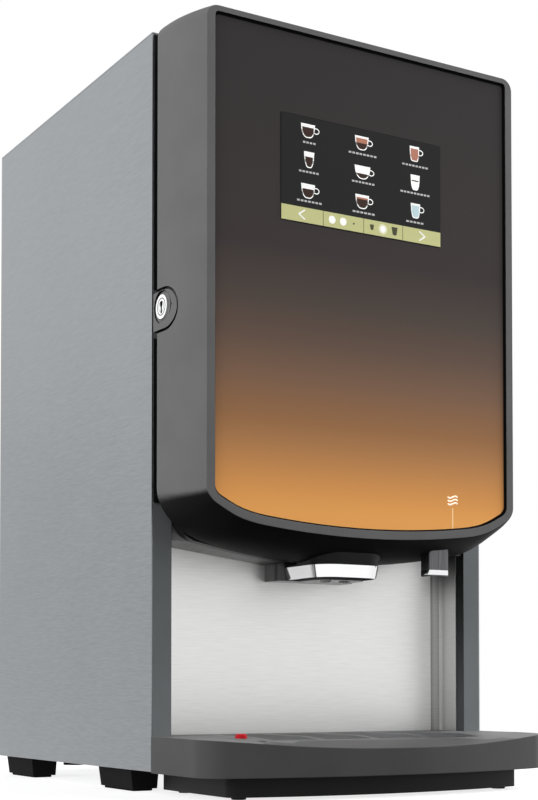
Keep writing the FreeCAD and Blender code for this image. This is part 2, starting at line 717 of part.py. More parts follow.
def make_display_module():
    """Glass face in the window, with its housing and circuit board behind."""
    y = -DOOR_FRONT + WINDOW_RECESS
    back = y + WINDOW_THICK
    half_w = DISPLAY_WIDTH / 2
    half_h = DISPLAY_HEIGHT / 2
    face = rounded_box_y(DISPLAY_X - half_w, DISPLAY_X + half_w, DISPLAY_Z - half_h, DISPLAY_Z + half_h,
                         y - 0.5, back, 1.2)
    body = box(DISPLAY_X - half_w - 5, DISPLAY_X + half_w + 5, back, back + DISPLAY_BODY,
               DISPLAY_Z - half_h - 5, DISPLAY_Z + half_h + 5)
    plug = box(DISPLAY_X + 20, DISPLAY_X + 46, back + DISPLAY_BODY, -LINER_BACK - LINER_WALL - SEAT,
               DISPLAY_Z - 12, DISPLAY_Z - 4)
    return fuse([face, body, plug])


def make_door_liner():
    """Inner tub that closes the back of the door and presses the window into its frame."""
    front = -DOOR_FRONT + WINDOW_RECESS + WINDOW_THICK
    back = -LINER_BACK
    outset = DOOR_WALL + SEAT
    tub = door_block(front, back, outset, 3)
    hollow = door_block(front - 1, back - LINER_WALL, outset + LINER_WALL, 3)
    tub = tub.cut(hollow)
    rib_low = door_block(front, back, outset, 3)
    half_rib = LINER_RIB / 2
    ribs = []
    for x in (DISPLAY_X - DISPLAY_WIDTH / 2 - 12, DISPLAY_X + DISPLAY_WIDTH / 2 + 16):
        ribs.append(box(x - half_rib, x + half_rib, front, back - 1, DOOR_BOTTOM + 42, DOOR_TOP - 16))
    for z in LINER_RIB_HEIGHTS:
        ribs.append(box(-HALF + 20, HALF - 20, front, back - 1, z - half_rib, z + half_rib))
    grid = fuse(ribs).common(rib_low)
    clear = box(DISPLAY_X - DISPLAY_WIDTH / 2 - 6, DISPLAY_X + DISPLAY_WIDTH / 2 + 6, front - 1,
                back - LINER_WALL, DISPLAY_Z - DISPLAY_HEIGHT / 2 - 6, DISPLAY_Z + DISPLAY_HEIGHT / 2 + 6)
    liner = tub.fuse(grid.cut(clear))
    knuckle_room = box(HINGE_X - 14, HALF, -DOOR_FRONT, 0, HINGE_ARMS[0] - 4, HINGE_ARMS[0] + 24)
    tube_room = box(SPOUT_X - 9, SPOUT_X + 14, SPOUT_Y - 6, 0, DOOR_BOTTOM, DOOR_BOTTOM + 44)
    liner = liner.cut(knuckle_room).cut(tube_room)
    return liner.removeSplitter()


def outlet_wire(z, grow, rear):
    """U-shaped plan of the outlet at one height, open side at the back, grown by an even amount."""
    half = OUTLET_HALF + grow
    front = OUTLET_FRONT + grow
    r = OUTLET_CORNER + grow
    c = r * math.sqrt(0.5)
    return Part.Wire([
        Part.LineSegment(V(-half, rear, z), V(-half, -front + r, z)).toShape(),
        arc(V(-half, -front + r, z), V(-half + r - c, -front + r - c, z), V(-half + r, -front, z)),
        Part.LineSegment(V(-half + r, -front, z), V(half - r, -front, z)).toShape(),
        arc(V(half - r, -front, z), V(half - r + c, -front + r - c, z), V(half, -front + r, z)),
        Part.LineSegment(V(half, -front + r, z), V(half, rear, z)).toShape(),
        Part.LineSegment(V(half, rear, z), V(-half, rear, z)).toShape(),
    ])


def outlet_block(grow, rear):
    """Solid of the outlet cowl: tapered at the band, flaring out towards the door."""
    levels = [(OUTLET_BOTTOM, -2.0), (OUTLET_TOP, 0.0), (OUTLET_TOP + 8, 3.0), (OUTLET_TOP + 26, 12.0)]
    low = Part.makeLoft([outlet_wire(z, g + grow, rear) for z, g in levels[:2]], True, True)
    high = Part.makeLoft([outlet_wire(z, g + grow, rear) for z, g in levels[1:]], True, False)
    return low.fuse(high)


def make_outlet_cowl():
    """Dark cowls under the door round the outlet and round the hot-water spout, open at the back."""
    under = door_block(-DOOR_FRONT, 40)
    cowl = outlet_block(-TRIM_THICK, OUTLET_REAR).cut(outlet_block(-TRIM_THICK - OUTLET_WALL, OUTLET_REAR + 5))
    cowl = cowl.cut(under)
    cowl = cowl.cut(box(-HALF, HALF, -DOOR_GAP + 3, 60, DOOR_BOTTOM - 0.5, DOOR_BOTTOM + 60))
    spout = spout_block(0, SPOUT_BOTTOM, DOOR_BOTTOM + 30)
    spout = spout.cut(spout_block(-OUTLET_WALL, SPOUT_BOTTOM - 1, DOOR_BOTTOM + 31))
    groove = spout_block(1, SPOUT_BOTTOM + 1, SPOUT_BOTTOM + 1 + SPOUT_TIP).cut(
        spout_block(-TRIM_THICK, SPOUT_BOTTOM, SPOUT_BOTTOM + 8))
    spout = spout.cut(under).cut(groove)
    return [biggest(cowl), biggest(spout)]


def biggest(shape):
    """Largest solid of a shape."""
    return max(shape.Solids, key=lambda s: s.Volume)


def spout_block(grow, z0, z1):
    """Upright block of the spout with rounded front corners, open side at the back."""
    half = SPOUT_WIDTH / 2 + grow
    front = SPOUT_Y - SPOUT_DEPTH / 2 - grow
    rear = SPOUT_Y + SPOUT_DEPTH / 2 + (0 if grow >= 0 else 3)
    block = box(SPOUT_X - half, SPOUT_X + half, front, rear, z0, z1)
    edges = [e for e in block.Edges if abs(e.Vertexes[0].Z - e.Vertexes[1].Z) > 1e-6
             and abs(e.Vertexes[0].Y - front) < 1e-6]
    return block.makeFillet(3.5 + grow, edges)


def make_chrome_trim():
    """Bright band round the outlet and bright strip round the tip of the spout."""
    band = outlet_block(0, OUTLET_REAR).cut(outlet_block(-TRIM_THICK, OUTLET_REAR + 5))
    band = band.common(box(-HALF, HALF, -DOOR_FRONT, 40, OUTLET_BOTTOM, OUTLET_TOP))
    z0 = SPOUT_BOTTOM + 1
    strip = spout_block(0, z0, z0 + SPOUT_TIP).cut(spout_block(-TRIM_THICK, z0 - 1, z0 + SPOUT_TIP + 1))
    return [biggest(band), biggest(strip)]


def make_door_catch():
    """Steel catch on the door liner: two arms and the bar that the lock cam holds."""
    bar_y = LOCK_Y + 8
    bar_z = LOCK_Z + 15
    x0 = LOCK_CAM_X - 7
    x1 = LOCK_CAM_X + LOCK_CAM_THICK + 7
    plate = box(x0, x1, -LINER_BACK, -LINER_BACK + 2, bar_z - 6, bar_z + 6)
    arm = box(x0, x0 + 2, -LINER_BACK + 2, bar_y + 3, bar_z - 3, bar_z + 3)
    other = box(x1 - 2, x1, -LINER_BACK + 2, bar_y + 3, bar_z - 3, bar_z + 3)
    bar = along_x(2.0, bar_y, bar_z, x0 + 1, x1 - 1)
    return fuse([plate, arm, other, bar])


# Lock

def make_lock_housing():
    """Housing fixed to the left column, its outer face in line with the door side."""
    block = lock_block(0).common(door_block(-DOOR_FRONT, 0))
    hollow = lock_block(-2.5).common(door_block(-DOOR_FRONT, LOCK_D_REAR - 2.5, 3.0))
    inner_end = box(-HALF + 16, 0, -DOOR_FRONT, 10, LOCK_Z - 75, LOCK_Z + 75)
    block = block.cut(inner_end).cut(hollow)
    boss = along_x(LOCK_BARREL + 2, LOCK_Y, LOCK_Z, -HALF + 2, -HALF + 16).common(lock_block(0))
    block = fuse([block, boss])
    block = block.cut(along_x(13.5, LOCK_Y, LOCK_Z, -HALF - 2, -HALF + 1.9))
    block = block.cut(along_x(LOCK_PLUG + RUN, LOCK_Y, LOCK_Z, -HALF - 5, -HALF + 20))
    foot = box(-INNER + 2, -BAY_HALF - 1, LOCK_D_REAR - 2.5, 0, LOCK_D_Z - 13, LOCK_D_Z + 13)
    foot = foot.cut(along_x(LOCK_PLUG + RUN, LOCK_Y, LOCK_Z, -HALF - 5, -HALF + 20))
    return block.fuse(foot).removeSplitter()


def make_lock_barrel():
    """Turning plug with its keyhole and flanged head, and the cam on its inner end."""
    head = along_x(LOCK_BARREL, LOCK_Y, LOCK_Z, -HALF + 0.2, -HALF + 1.9 - SEAT / 3)
    plug = along_x(LOCK_PLUG, LOCK_Y, LOCK_Z, -HALF + 1, LOCK_CAM_X)
    barrel = fuse([head, plug])
    slot = box(-HALF - 1, -HALF + 6, LOCK_Y - 0.9, LOCK_Y + 0.9, LOCK_Z - 4.5, LOCK_Z + 4.5)
    barrel = barrel.cut(slot).cut(along_x(2.2, LOCK_Y, LOCK_Z + 2.4, -HALF - 1, -HALF + 6))
    tongue = box(LOCK_CAM_X, LOCK_CAM_X + LOCK_CAM_THICK, LOCK_Y - LOCK_CAM_REACH, LOCK_Y,
                 LOCK_Z - 4.5, LOCK_Z + 4.5)
    disc = along_x(LOCK_PLUG, LOCK_Y, LOCK_Z, LOCK_CAM_X, LOCK_CAM_X + LOCK_CAM_THICK)
    cam = fuse([tongue, disc])
    nut = along_x(4.0, LOCK_Y, LOCK_Z, LOCK_CAM_X + LOCK_CAM_THICK, LOCK_CAM_X + LOCK_CAM_THICK + 3)
    return [barrel, cam.fuse(nut).removeSplitter()]


def make_cover_screws():
    """Small round screw heads on the face of the left column."""
    return [along_y(2.2, -HALF + 5, z, -1.6, 0) for z in SCREW_HEIGHTS]


# Outlets on the cabinet side

def make_nozzle_block():
    """Moulded block behind the cowl that holds the two drink hoses, on an arm from the splash panel."""
    front = NOZZLE_Y - 15
    rear = OUTLET_REAR + 1.0
    block = rounded_plate(-NOZZLE_HALF, NOZZLE_HALF, front, rear, NOZZLE_BOTTOM, NOZZLE_TOP, NOZZLE_CORNER)
    neck = box(-NOZZLE_HALF + 2, NOZZLE_HALF - 2, NOZZLE_Y + 6, SPLASH_DEPTH, NOZZLE_BOTTOM + 2, NOZZLE_TOP)
    arm = box(-NOZZLE_ARM, NOZZLE_ARM, rear, SPLASH_DEPTH, NOZZLE_BOTTOM + 1, NOZZLE_TOP)
    arm = arm.makeFillet(8.0, [e for e in arm.Edges if abs(e.Vertexes[0].Z - e.Vertexes[1].Z) > 1e-6
                               and abs(e.Vertexes[0].Y - rear) < 1e-6])
    block = fuse([block, neck, arm])
    for side in (-1, 1):
        x = side * NOZZLE_PITCH / 2
        block = block.cut(along_z(DRINK_HOSE_RADIUS, x, NOZZLE_Y, NOZZLE_BOTTOM - 1, NOZZLE_TOP + 1))
    return block


def make_mixer_hoses():
    """Two hoses from the mixing bowls down through the nozzle block."""
    solids = []
    for side in (-1, 1):
        x = side * CANISTER_PITCH / 2
        end_x = side * NOZZLE_PITCH / 2
        points = [
            (x, SPOUT_STUB_Y, SPOUT_STUB_Z),
            (x, SPOUT_STUB_Y, SPOUT_STUB_Z - 19),
            (x - side * 30, SPOUT_STUB_Y - 19, SPOUT_STUB_Z - 20),
            (end_x, NOZZLE_Y, NOZZLE_TOP + 19),
            (end_x, NOZZLE_Y, NOZZLE_BOTTOM - 1),
        ]
        solids.append(pipe(points, DRINK_HOSE_RADIUS, 3.0, 14))
    return solids


def make_hot_water_tube():
    """Steel tube from the mixer wall over the bay roof, ending in the door above the hole of the spout."""
    points = [
        (WATER_X, MIXER_WALL - 6, WATER_Z),
        (WATER_X, 10, WATER_Z),
        (SPOUT_X + 3, SPOUT_Y + 3, WATER_Z - 3),
        (SPOUT_X, SPOUT_Y, DOOR_BOTTOM + 16.5),
    ]
    return pipe(points, 3.0, 2.2, 4)


# Powder side

def canister_profile(x, half, radius, top, low):
    """Cross-section of the powder space: straight above, sloping to a round trough."""
    axis = AUGER_HEIGHT
    run = half
    drop = HOPPER_HEIGHT - axis
    reach = math.hypot(run, drop)
    tangent = math.asin(radius / reach) + math.atan2(drop, run)
    tx = radius * math.sin(tangent)
    tz = axis - radius * math.cos(tangent)
    edges = [
        Part.LineSegment(V(x - half, low, top), V(x - half, low, HOPPER_HEIGHT)).toShape(),
        Part.LineSegment(V(x - half, low, HOPPER_HEIGHT), V(x - tx, low, tz)).toShape(),
        arc(V(x - tx, low, tz), V(x, low, axis - radius), V(x + tx, low, tz)),
        Part.LineSegment(V(x + tx, low, tz), V(x + half, low, HOPPER_HEIGHT)).toShape(),
        Part.LineSegment(V(x + half, low, HOPPER_HEIGHT), V(x + half, low, top)).toShape(),
        Part.LineSegment(V(x + half, low, top), V(x - half, low, top)).toShape(),
    ]
    return Part.Wire(edges), tx, tz


def make_canister(x):
    """Powder canister: straight outer walls, hopper and auger trough inside, outlet tube in front."""
    t = CANISTER_WALL_THICK
    half = CANISTER_WIDTH / 2
    floor = SHELF_HEIGHT + FRAME_SHEET
    block = rounded_plate(x - half, x + half, CANISTER_FRONT, CANISTER_BACK, floor, CANISTER_TOP, 8.0)
    inside, tx, tz = canister_profile(x, half - t, TROUGH_RADIUS, CANISTER_TOP + 1, CANISTER_FRONT + t)
    length = CANISTER_BACK - CANISTER_FRONT - 2 * t
    powder = Part.Face(inside).extrude(V(0, length, 0))
    slope = math.atan2(HOPPER_HEIGHT - tz, half - t - tx)
    shift = t / math.cos(slope)
    under = [
        (x + half - t, floor - 1), (x + half - t, HOPPER_HEIGHT - shift),
        (x + tx + t * math.sin(slope), tz - t * math.cos(slope)), (x + tx, floor - 1),
    ]
    block = block.cut(powder)
    for points in (under, [(2 * x - a, b) for a, b in under]):
        block = block.cut(prism(points, "Y", CANISTER_FRONT + t, CANISTER_BACK + 1))
    lip = rounded_plate(x - half - 1.5, x + half + 1.5, CANISTER_FRONT - 1.5, CANISTER_BACK + 1.5,
                        CANISTER_TOP - 6, CANISTER_TOP - 3, 9.0)
    lip = lip.cut(rounded_plate(x - half + t, x + half - t, CANISTER_FRONT + t, CANISTER_BACK - t,
                                CANISTER_TOP - 7, CANISTER_TOP, 6.0))
    tube = along_y(CANISTER_TUBE, x, AUGER_HEIGHT, CANISTER_FRONT - TUBE_REACH, CANISTER_FRONT + 1)
    block = fuse([block, lip, tube])
    block = block.cut(along_y(TROUGH_RADIUS, x, AUGER_HEIGHT, CANISTER_FRONT - TUBE_REACH - 1,
                              CANISTER_FRONT + t + 1))
    block = block.cut(along_y(AUGER_SHAFT + RUN, x, AUGER_HEIGHT, CANISTER_BACK - t - 1, CANISTER_BACK + 2))
    return block


def make_canister_lids():
    """Two flat lids with a rim that drops over the canisters."""
    solids = []
    t = CANISTER_WALL_THICK
    half = CANISTER_WIDTH / 2
    for side in (-1, 1):
        x = side * CANISTER_PITCH / 2
        top = rounded_plate(x - half, x + half, CANISTER_FRONT, CANISTER_BACK, CANISTER_TOP, CANISTER_TOP + 3, 8.0)
        plug = rounded_plate(x - half + t + SEAT, x + half - t - SEAT, CANISTER_FRONT + t + SEAT,
                             CANISTER_BACK - t - SEAT, CANISTER_TOP - 4, CANISTER_TOP, 5.0)
        plug = plug.cut(rounded_plate(x - half + 7, x + half - 7, CANISTER_FRONT + 7, CANISTER_BACK - 7,
                                      CANISTER_TOP - 5, CANISTER_TOP, 3.0))
        grip = rounded_plate(x - 20, x + 20, CANISTER_FRONT + 12, CANISTER_FRONT + 18,
                             CANISTER_TOP + 3, CANISTER_TOP + 11, 2.5)
        solids.append(fuse([top, plug, grip]))
    return solids


def make_auger(x):
    """Screw that carries powder to the outlet, with its shaft and rear driving disc."""
    front = CANISTER_FRONT + SEAT
    back = CANISTER_BACK - CANISTER_WALL_THICK - 4
    shaft = along_y(AUGER_SHAFT, x, AUGER_HEIGHT, front, CANISTER_WALL + FRAME_SHEET + 14)
    disc = along_y(8.0, x, AUGER_HEIGHT, CANISTER_BACK + 1, CANISTER_BACK + 4)
    turns_length = back - front - 4
    helix = Part.makeHelix(AUGER_PITCH, turns_length, AUGER_SHAFT + 0.5)
    t = 1.2
    inner = AUGER_SHAFT - 0.6
    blade = Part.makePolygon([V(inner, 0, -t), V(AUGER_RADIUS, 0, -t * 0.6), V(AUGER_RADIUS, 0, t * 0.6),
                              V(inner, 0, t), V(inner, 0, -t)])
    screw = Part.Wire(helix.Edges).makePipeShell([Part.Wire(blade.Edges)], True, True)
    screw.rotate(V(0, 0, 0), V(1, 0, 0), -90)
    screw.translate(V(x, front + 2, AUGER_HEIGHT))
    return shaft.fuse(disc).fuse(screw)


def make_outlet_elbow(x):
    """Turning elbow on the canister outlet: sleeve and a chute that points down."""
    z = AUGER_HEIGHT
    rear = CANISTER_FRONT - 1
    front = rear - 29
    mouth = CANISTER_FRONT - TUBE_REACH
    half = CHUTE_HALF
    outer = CANISTER_TUBE + SEAT + MOULDED
    sleeve = along_y(outer, x, z, front, rear)
    chute = rounded_plate(x - half, x + half, front, mouth - 1, ELBOW_BOTTOM, z, 4.0)
    elbow = fuse([sleeve, chute])
    elbow = elbow.cut(along_y(CANISTER_TUBE + SEAT, x, z, mouth - SEAT, rear + 1))
    elbow = elbow.cut(along_y(TROUGH_RADIUS, x, z, front + MOULDED, mouth + 1))
    hole = rounded_plate(x - half + MOULDED, x + half - MOULDED, front + MOULDED, mouth - 1 - MOULDED,
                         ELBOW_BOTTOM - 1, z, 2.0)
    return elbow.cut(hole)


def make_auger_motors():
    """Two gear motors behind the canister wall, each with its boss through the wall."""
    solids = []
    y = CANISTER_WALL + FRAME_SHEET
    for side in (-1, 1):
        x = side * CANISTER_PITCH / 2
        gearbox = rounded_box_y(x - 19, x + 19, AUGER_HEIGHT - 19, AUGER_HEIGHT + 30, y, y + 20, 5.0)
        can = along_y(14.0, x, AUGER_HEIGHT + 12, y + 20, y + 44)
        boss = along_y(AUGER_BOSS, x, AUGER_HEIGHT, y - FRAME_SHEET, y)
        motor = fuse([gearbox, can, boss])
        solids.append(motor.cut(along_y(AUGER_SHAFT + RUN, x, AUGER_HEIGHT, y - 5, y + 16)))
    return solids


# Mixing side

def revolved(points, x, y):
    """Turn a closed profile of radius and height pairs about an upright axis."""
    corners = [V(x + r, y, z) for r, z in points]
    face = Part.Face(Part.makePolygon(corners + corners[:1]))
    return face.revolve(V(x, y, 0), V(0, 0, 1), 360)


def make_mixing_bowl(x):
    """Funnel over a round whipping chamber, with a water stub at the back and an outlet below."""
    t = MOULDED
    z = MIXER_HEIGHT
    r = CHAMBER_RADIUS
    rear = CHAMBER_REAR
    stub = along_y(HOSE_RADIUS, STUB_X if x > 0 else -STUB_X, STUB_Z, FUNNEL_Y + 12, STUB_END)
    chamber = along_y(r, x, z, CHAMBER_FRONT, rear)
    rim = FUNNEL_RADIUS
    funnel = revolved([(0, z), (THROAT_RADIUS, z), (THROAT_RADIUS, THROAT_HEIGHT), (rim - 4, FUNNEL_TOP - 22),
                       (rim, FUNNEL_TOP - 8), (rim, FUNNEL_TOP), (0, FUNNEL_TOP)], x, FUNNEL_Y)
    spout = along_z(6.5, x, SPOUT_STUB_Y, SPOUT_STUB_Z, z)
    outer = fuse([chamber, funnel, spout, stub])
    chamber_in = along_y(r - t, x, z, CHAMBER_FRONT + t, rear + 1)
    funnel_in = revolved([(0, z), (THROAT_RADIUS - t, z), (THROAT_RADIUS - t, THROAT_HEIGHT),
                          (rim - 4 - t, FUNNEL_TOP - 22), (rim - t, FUNNEL_TOP - 8), (rim - t, FUNNEL_TOP + 1),
                          (0, FUNNEL_TOP + 1)], x, FUNNEL_Y)
    spout_in = along_z(4.0, x, SPOUT_STUB_Y, SPOUT_STUB_Z - 1, z)
    stub_in = along_y(HOSE_RADIUS - 1.5, STUB_X if x > 0 else -STUB_X, STUB_Z, FUNNEL_Y + 10, STUB_END + 1)
    return outer.cut(chamber_in).cut(funnel_in).cut(spout_in).cut(stub_in)


def make_locking_ring(x):
    """Bayonet ring that holds the mixing bowl on the wall, with two finger grips."""
    z = MIXER_HEIGHT
    front = CHAMBER_REAR - 7
    back = MIXER_WALL - SEAT
    ring = along_y(RING_RADIUS, x, z, front, back)
    grips = []
    for side in (-1, 1):
        x0, x1 = sorted((x + side * (RING_RADIUS - 2), x + side * (RING_RADIUS + 5)))
        grips.append(box(x0, x1, front, back, z - 5, z + 5))
    ring = fuse([ring] + grips)
    ring = ring.cut(along_y(CHAMBER_RADIUS + RUN, x, z, front - 1, CHAMBER_REAR + SEAT))
    return ring.cut(along_y(BASE_RADIUS + RUN, x, z, front - 1, back + 1))


def make_mixer_motors():
    """Two motors behind the mixer wall, each with a boss and sealing base in front of it."""
    solids = []
    z = MIXER_HEIGHT
    y = MIXER_WALL + FRAME_SHEET
    for side in (-1, 1):
        x = side * CANISTER_PITCH / 2
        can = along_y(MOTOR_RADIUS, x, z, y, y + MOTOR_LENGTH)
        cap = along_y(MOTOR_RADIUS - 8, x, z, y + MOTOR_LENGTH, y + MOTOR_LENGTH + 5)
        boss = along_y(MIXER_BOSS, x, z, MIXER_WALL, y)
        base = along_y(BASE_RADIUS, x, z, CHAMBER_REAR + SEAT, MIXER_WALL)
        seal = along_y(9.0, x, z, CHAMBER_REAR - 5, CHAMBER_REAR + SEAT)
        motor = fuse([can, cap, boss, base, seal])
        solids.append(motor.cut(along_y(AUGER_SHAFT + RUN, x, z, CHAMBER_REAR - 10, y + 24)))
    return solids


def make_impeller(x):
    """Whipping wheel on its shaft: hub, disc and curved vanes."""
    z = MIXER_HEIGHT
    shaft = along_y(AUGER_SHAFT, x, z, IMPELLER_Y + 2, MIXER_WALL + FRAME_SHEET + 22)
    back = IMPELLER_Y + IMPELLER_DEPTH
    hub = along_y(6.0, x, z, IMPELLER_Y, back)
    disc = along_y(IMPELLER_RADIUS, x, z, back - 2, back)
    vanes = []
    for i in range(8):
        vane = box(x + 4, x + IMPELLER_RADIUS - 1, IMPELLER_Y, back - 2, z - 0.8, z + 0.8)
        vane.rotate(V(x, 0, z), V(0, 1, 0), 45 * i)
        vanes.append(vane)
    return fuse([shaft, hub, disc] + vanes)


def make_steam_duct():
    """Trough under the shelf, closed by the mixer wall, that draws vapour off both bowls."""
    t = 2.0
    y0 = DUCT_FRONT
    y1 = MIXER_WALL
    half = CANISTER_PITCH / 2 + 30
    outer = box(-half, half, y0, y1, DUCT_Z0, DUCT_Z1)
    inner = box(-half + t, half - t, y0 + t, y1 + 1, DUCT_Z0 + t, DUCT_Z1 - t)
    duct = outer.cut(inner)
    for side in (-1, 1):
        x = side * CANISTER_PITCH / 2
        duct = duct.cut(box(x - 22, x + 22, y0 - 1, y0 + t + 1, DUCT_Z0 + 4, DUCT_Z1 - 4))
    return duct


def make_fan_housing():
    """Square fan frame on the back of the mixer wall, with a cross that carries the rotor pin."""
    y0 = MIXER_WALL + FRAME_SHEET
    y1 = y0 + FAN_DEPTH
    half = FAN_FRAME / 2
    z = FAN_HEIGHT
    frame = rounded_box_y(-half, half, z - half, z + half, y0, y1, 4.0)
    frame = frame.cut(along_y(FAN_RADIUS + 1, 0, z, y0 + 2.5, y1 + 1))
    half_cut, edge = DUCT_CUT
    frame = frame.cut(box(-half_cut, half_cut, y0 - 1, y0 + 3, DUCT_Z0 + edge, DUCT_Z1 - edge))
    cross = fuse([box(-half + 1, half - 1, y1 - 2.5, y1, z - 1.5, z + 1.5),
                  box(-1.5, 1.5, y1 - 2.5, y1, z - half + 1, z + half - 1),
                  along_y(8.0, 0, z, y1 - 2.5, y1)])
    pin = along_y(FAN_PIN, 0, z, y1 - 18, y1 - 2.5)
    return fuse([frame, cross, pin])


def make_fan_rotor():
    """Rotor with seven slanted blades on a hollow hub."""
    y0 = MIXER_WALL + FRAME_SHEET + 6
    z = FAN_HEIGHT
    hub = along_y(9.0, 0, z, y0, y0 + FAN_HUB)
    blades = []
    for i in range(7):
        blade = box(7, FAN_RADIUS - 1, -6.5, 6.5, -0.7, 0.7)
        blade.rotate(V(0, 0, 0), V(1, 0, 0), 38)
        blade.translate(V(0, y0 + FAN_HUB / 2, z))
        blade.rotate(V(0, 0, z), V(0, 1, 0), 360 / 7 * i)
        blades.append(blade)
    rotor = fuse([hub] + blades)
    return rotor.cut(along_y(FAN_PIN + RUN, 0, z, y0 + 1.5, y0 + FAN_HUB + 1))


# Water side

def make_boiler_tank():
    """Stainless tank with a closed bottom, three outlet stubs and a rolled rim."""
    r = TANK_RADIUS
    outer = along_z(r, 0, TANK_Y, TANK_BOTTOM, TANK_TOP)
    rim = along_z(r + TANK_RIM, 0, TANK_Y, TANK_TOP - 3, TANK_TOP)
    stubs = [along_z(5.0, i * VALVE_PITCH, TANK_Y, TANK_BOTTOM - STUB_DROP, TANK_BOTTOM + 1) for i in (-1, 0, 1)]
    tank = fuse([outer, rim] + stubs)
    inner = along_z(r - TANK_WALL, 0, TANK_Y, TANK_BOTTOM + TANK_WALL, TANK_TOP + 1)
    return tank.cut(inner)


def make_boiler_lid():
    """Lid with a vent, the water entry and two terminal posts."""
    z = TANK_TOP + LID_THICK
    lid = along_z(TANK_RADIUS + TANK_RIM, 0, TANK_Y, TANK_TOP, z)
    vent = along_z(7.0, -20, TANK_Y + 24, z, z + 13)
    entry = along_z(HOSE_RADIUS + 1, INLET_HOSE_X, TANK_Y, z, z + LID_ENTRY)
    posts = [along_z(4.0, x, TANK_Y - TERMINAL_FORWARD, z, z + 11) for x in (-TERMINAL_X, TERMINAL_X)]
    return fuse([lid, vent, entry] + posts)


def make_boiler_heater():
    """Looped heating rod under the lid and a temperature probe beside it."""
    x = TERMINAL_X
    y = TANK_Y - TERMINAL_FORWARD
    z = TANK_BOTTOM + 25
    points = [(-x, y, TANK_TOP), (-x, y, z + 20), (-x, y + 12, z), (-x, y + 34, z), (0, y + 46, z),
              (x, y + 34, z), (x, y + 12, z), (x, y, z + 20), (x, y, TANK_TOP)]
    rod_solid = pipe(points, 3.2)
    probe = along_z(3.0, TANK_RADIUS - 26, TANK_Y + 10, TANK_TOP - PROBE_LENGTH, TANK_TOP)
    return [rod_solid, probe]


def make_boiler_bracket():
    """Shelf behind the canister wall that carries the tank."""
    z = TANK_BOTTOM - FRAME_SHEET
    y = CANISTER_WALL + FRAME_SHEET
    half = BRACKET_HALF
    reach = TANK_Y + half + 4
    plate = box(-half, half, y, reach, z, TANK_BOTTOM)
    flange = box(-half, half, y, y + FRAME_SHEET, TANK_BOTTOM, TANK_BOTTOM + 24)
    ribs = [prism([(y, z), (reach - 10, z), (y, z - 16)], "X", x, x + FRAME_SHEET)
            for x in (-half, half - FRAME_SHEET)]
    heel = box(-half, half, y, y + FRAME_SHEET, SHELF_HEIGHT - FRAME_SHEET, z)
    bracket = fuse([plate, flange, heel] + ribs)
    for i in (-1, 0, 1):
        bracket = bracket.cut(along_z(6.0, i * VALVE_PITCH, TANK_Y, z - 1, TANK_BOTTOM + 1))
    return bracket


def make_outlet_valves():
    """Three small solenoid valves hanging under the tank, each with a coil and an outlet stub."""
    solids = []
    top = TANK_BOTTOM - STUB_DROP
    for i in (-1, 0, 1):
        x = i * VALVE_PITCH
        body = along_z(8.0, x, TANK_Y, top - 18, top)
        coil = rounded_plate(x - 11, x + 11, TANK_Y - 3, TANK_Y + 24, top - 38, top - 12, 3.0)
        outlet = along_y(HOSE_RADIUS, x, VALVE_Z, TANK_Y - VALVE_STUB, TANK_Y)
        solids.append(fuse([body, coil, outlet]))
    return solids


def make_inlet_valve():
    """Water inlet: threaded pin through the back panel, valve body with its coil, and a standing bracket."""
    y = INLET_FACE
    x = INLET_X
    z = INLET_Z
    bracket = box(x - 20, x + 20, y - 3, y, CABINET_BOTTOM + FRAME_SHEET, z + 16)
    foot = box(x - 20, x + 20, y - 22, y - 3, CABINET_BOTTOM + FRAME_SHEET, CABINET_BOTTOM + FRAME_SHEET + 3)
    pin = along_y(INLET_RADIUS, x, z, y, CABINET_DEPTH - 0.8)
    body = along_y(12.0, x, z, y - INLET_BODY, y - 3)
    coil = rounded_plate(x - 15, x + 15, y - INLET_BODY + 4, y - 9, z + 8, z + 38, 3.0)
    stub = along_y(HOSE_RADIUS, x, z, y - INLET_BODY - INLET_STUB, y - INLET_BODY)
    valve = fuse([bracket, foot, pin, body, coil, stub])
    return valve.cut(along_y(8.0, x, z, y, CABINET_DEPTH))


def make_water_hoses():
    """Silicone hoses: inlet to tank, two to the mixing bowls, one to the hot-water tube."""
    start_y = INLET_FACE - INLET_BODY - INLET_STUB
    entry_z = TANK_TOP + LID_THICK + LID_ENTRY
    inlet = pipe([
        (INLET_X, start_y, INLET_Z), (INLET_X, start_y - 24, INLET_Z), (INLET_X - 4, start_y - 34, INLET_Z + 40),
        (INLET_X - 2, start_y - 20, 200), (INLET_X + 2, TANK_Y + 6, 360), (INLET_X + 4, TANK_Y, 500),
        (INLET_X + 14, TANK_Y, entry_z + 12), (INLET_HOSE_X - 14, TANK_Y, entry_z + 24),
        (INLET_HOSE_X, TANK_Y, entry_z + 18), (INLET_HOSE_X, TANK_Y, entry_z)], HOSE_RADIUS)
    hoses = [inlet]
    y = TANK_Y - VALVE_STUB
    for side in (-1, 1):
        hoses.append(pipe([
            (side * VALVE_PITCH, y, VALVE_Z), (side * VALVE_PITCH, y - 24, VALVE_Z),
            (side * (STUB_X - 2), y - 70, STUB_Z + 6), (side * STUB_X, MIXER_WALL + 45, STUB_Z),
            (side * STUB_X, STUB_END, STUB_Z)], HOSE_RADIUS))
    hoses.append(pipe([
        (0, y, VALVE_Z), (0, y - 20, VALVE_Z), (30, y - 46, VALVE_Z - 22), (80, y - 62, 262),
        (WATER_X, y - 88, WATER_Z + 14), (WATER_X, MIXER_WALL + 34, WATER_Z), (WATER_X, MIXER_WALL - 6, WATER_Z)],
        HOSE_RADIUS - 0.5))
    return hoses


# Electrical parts

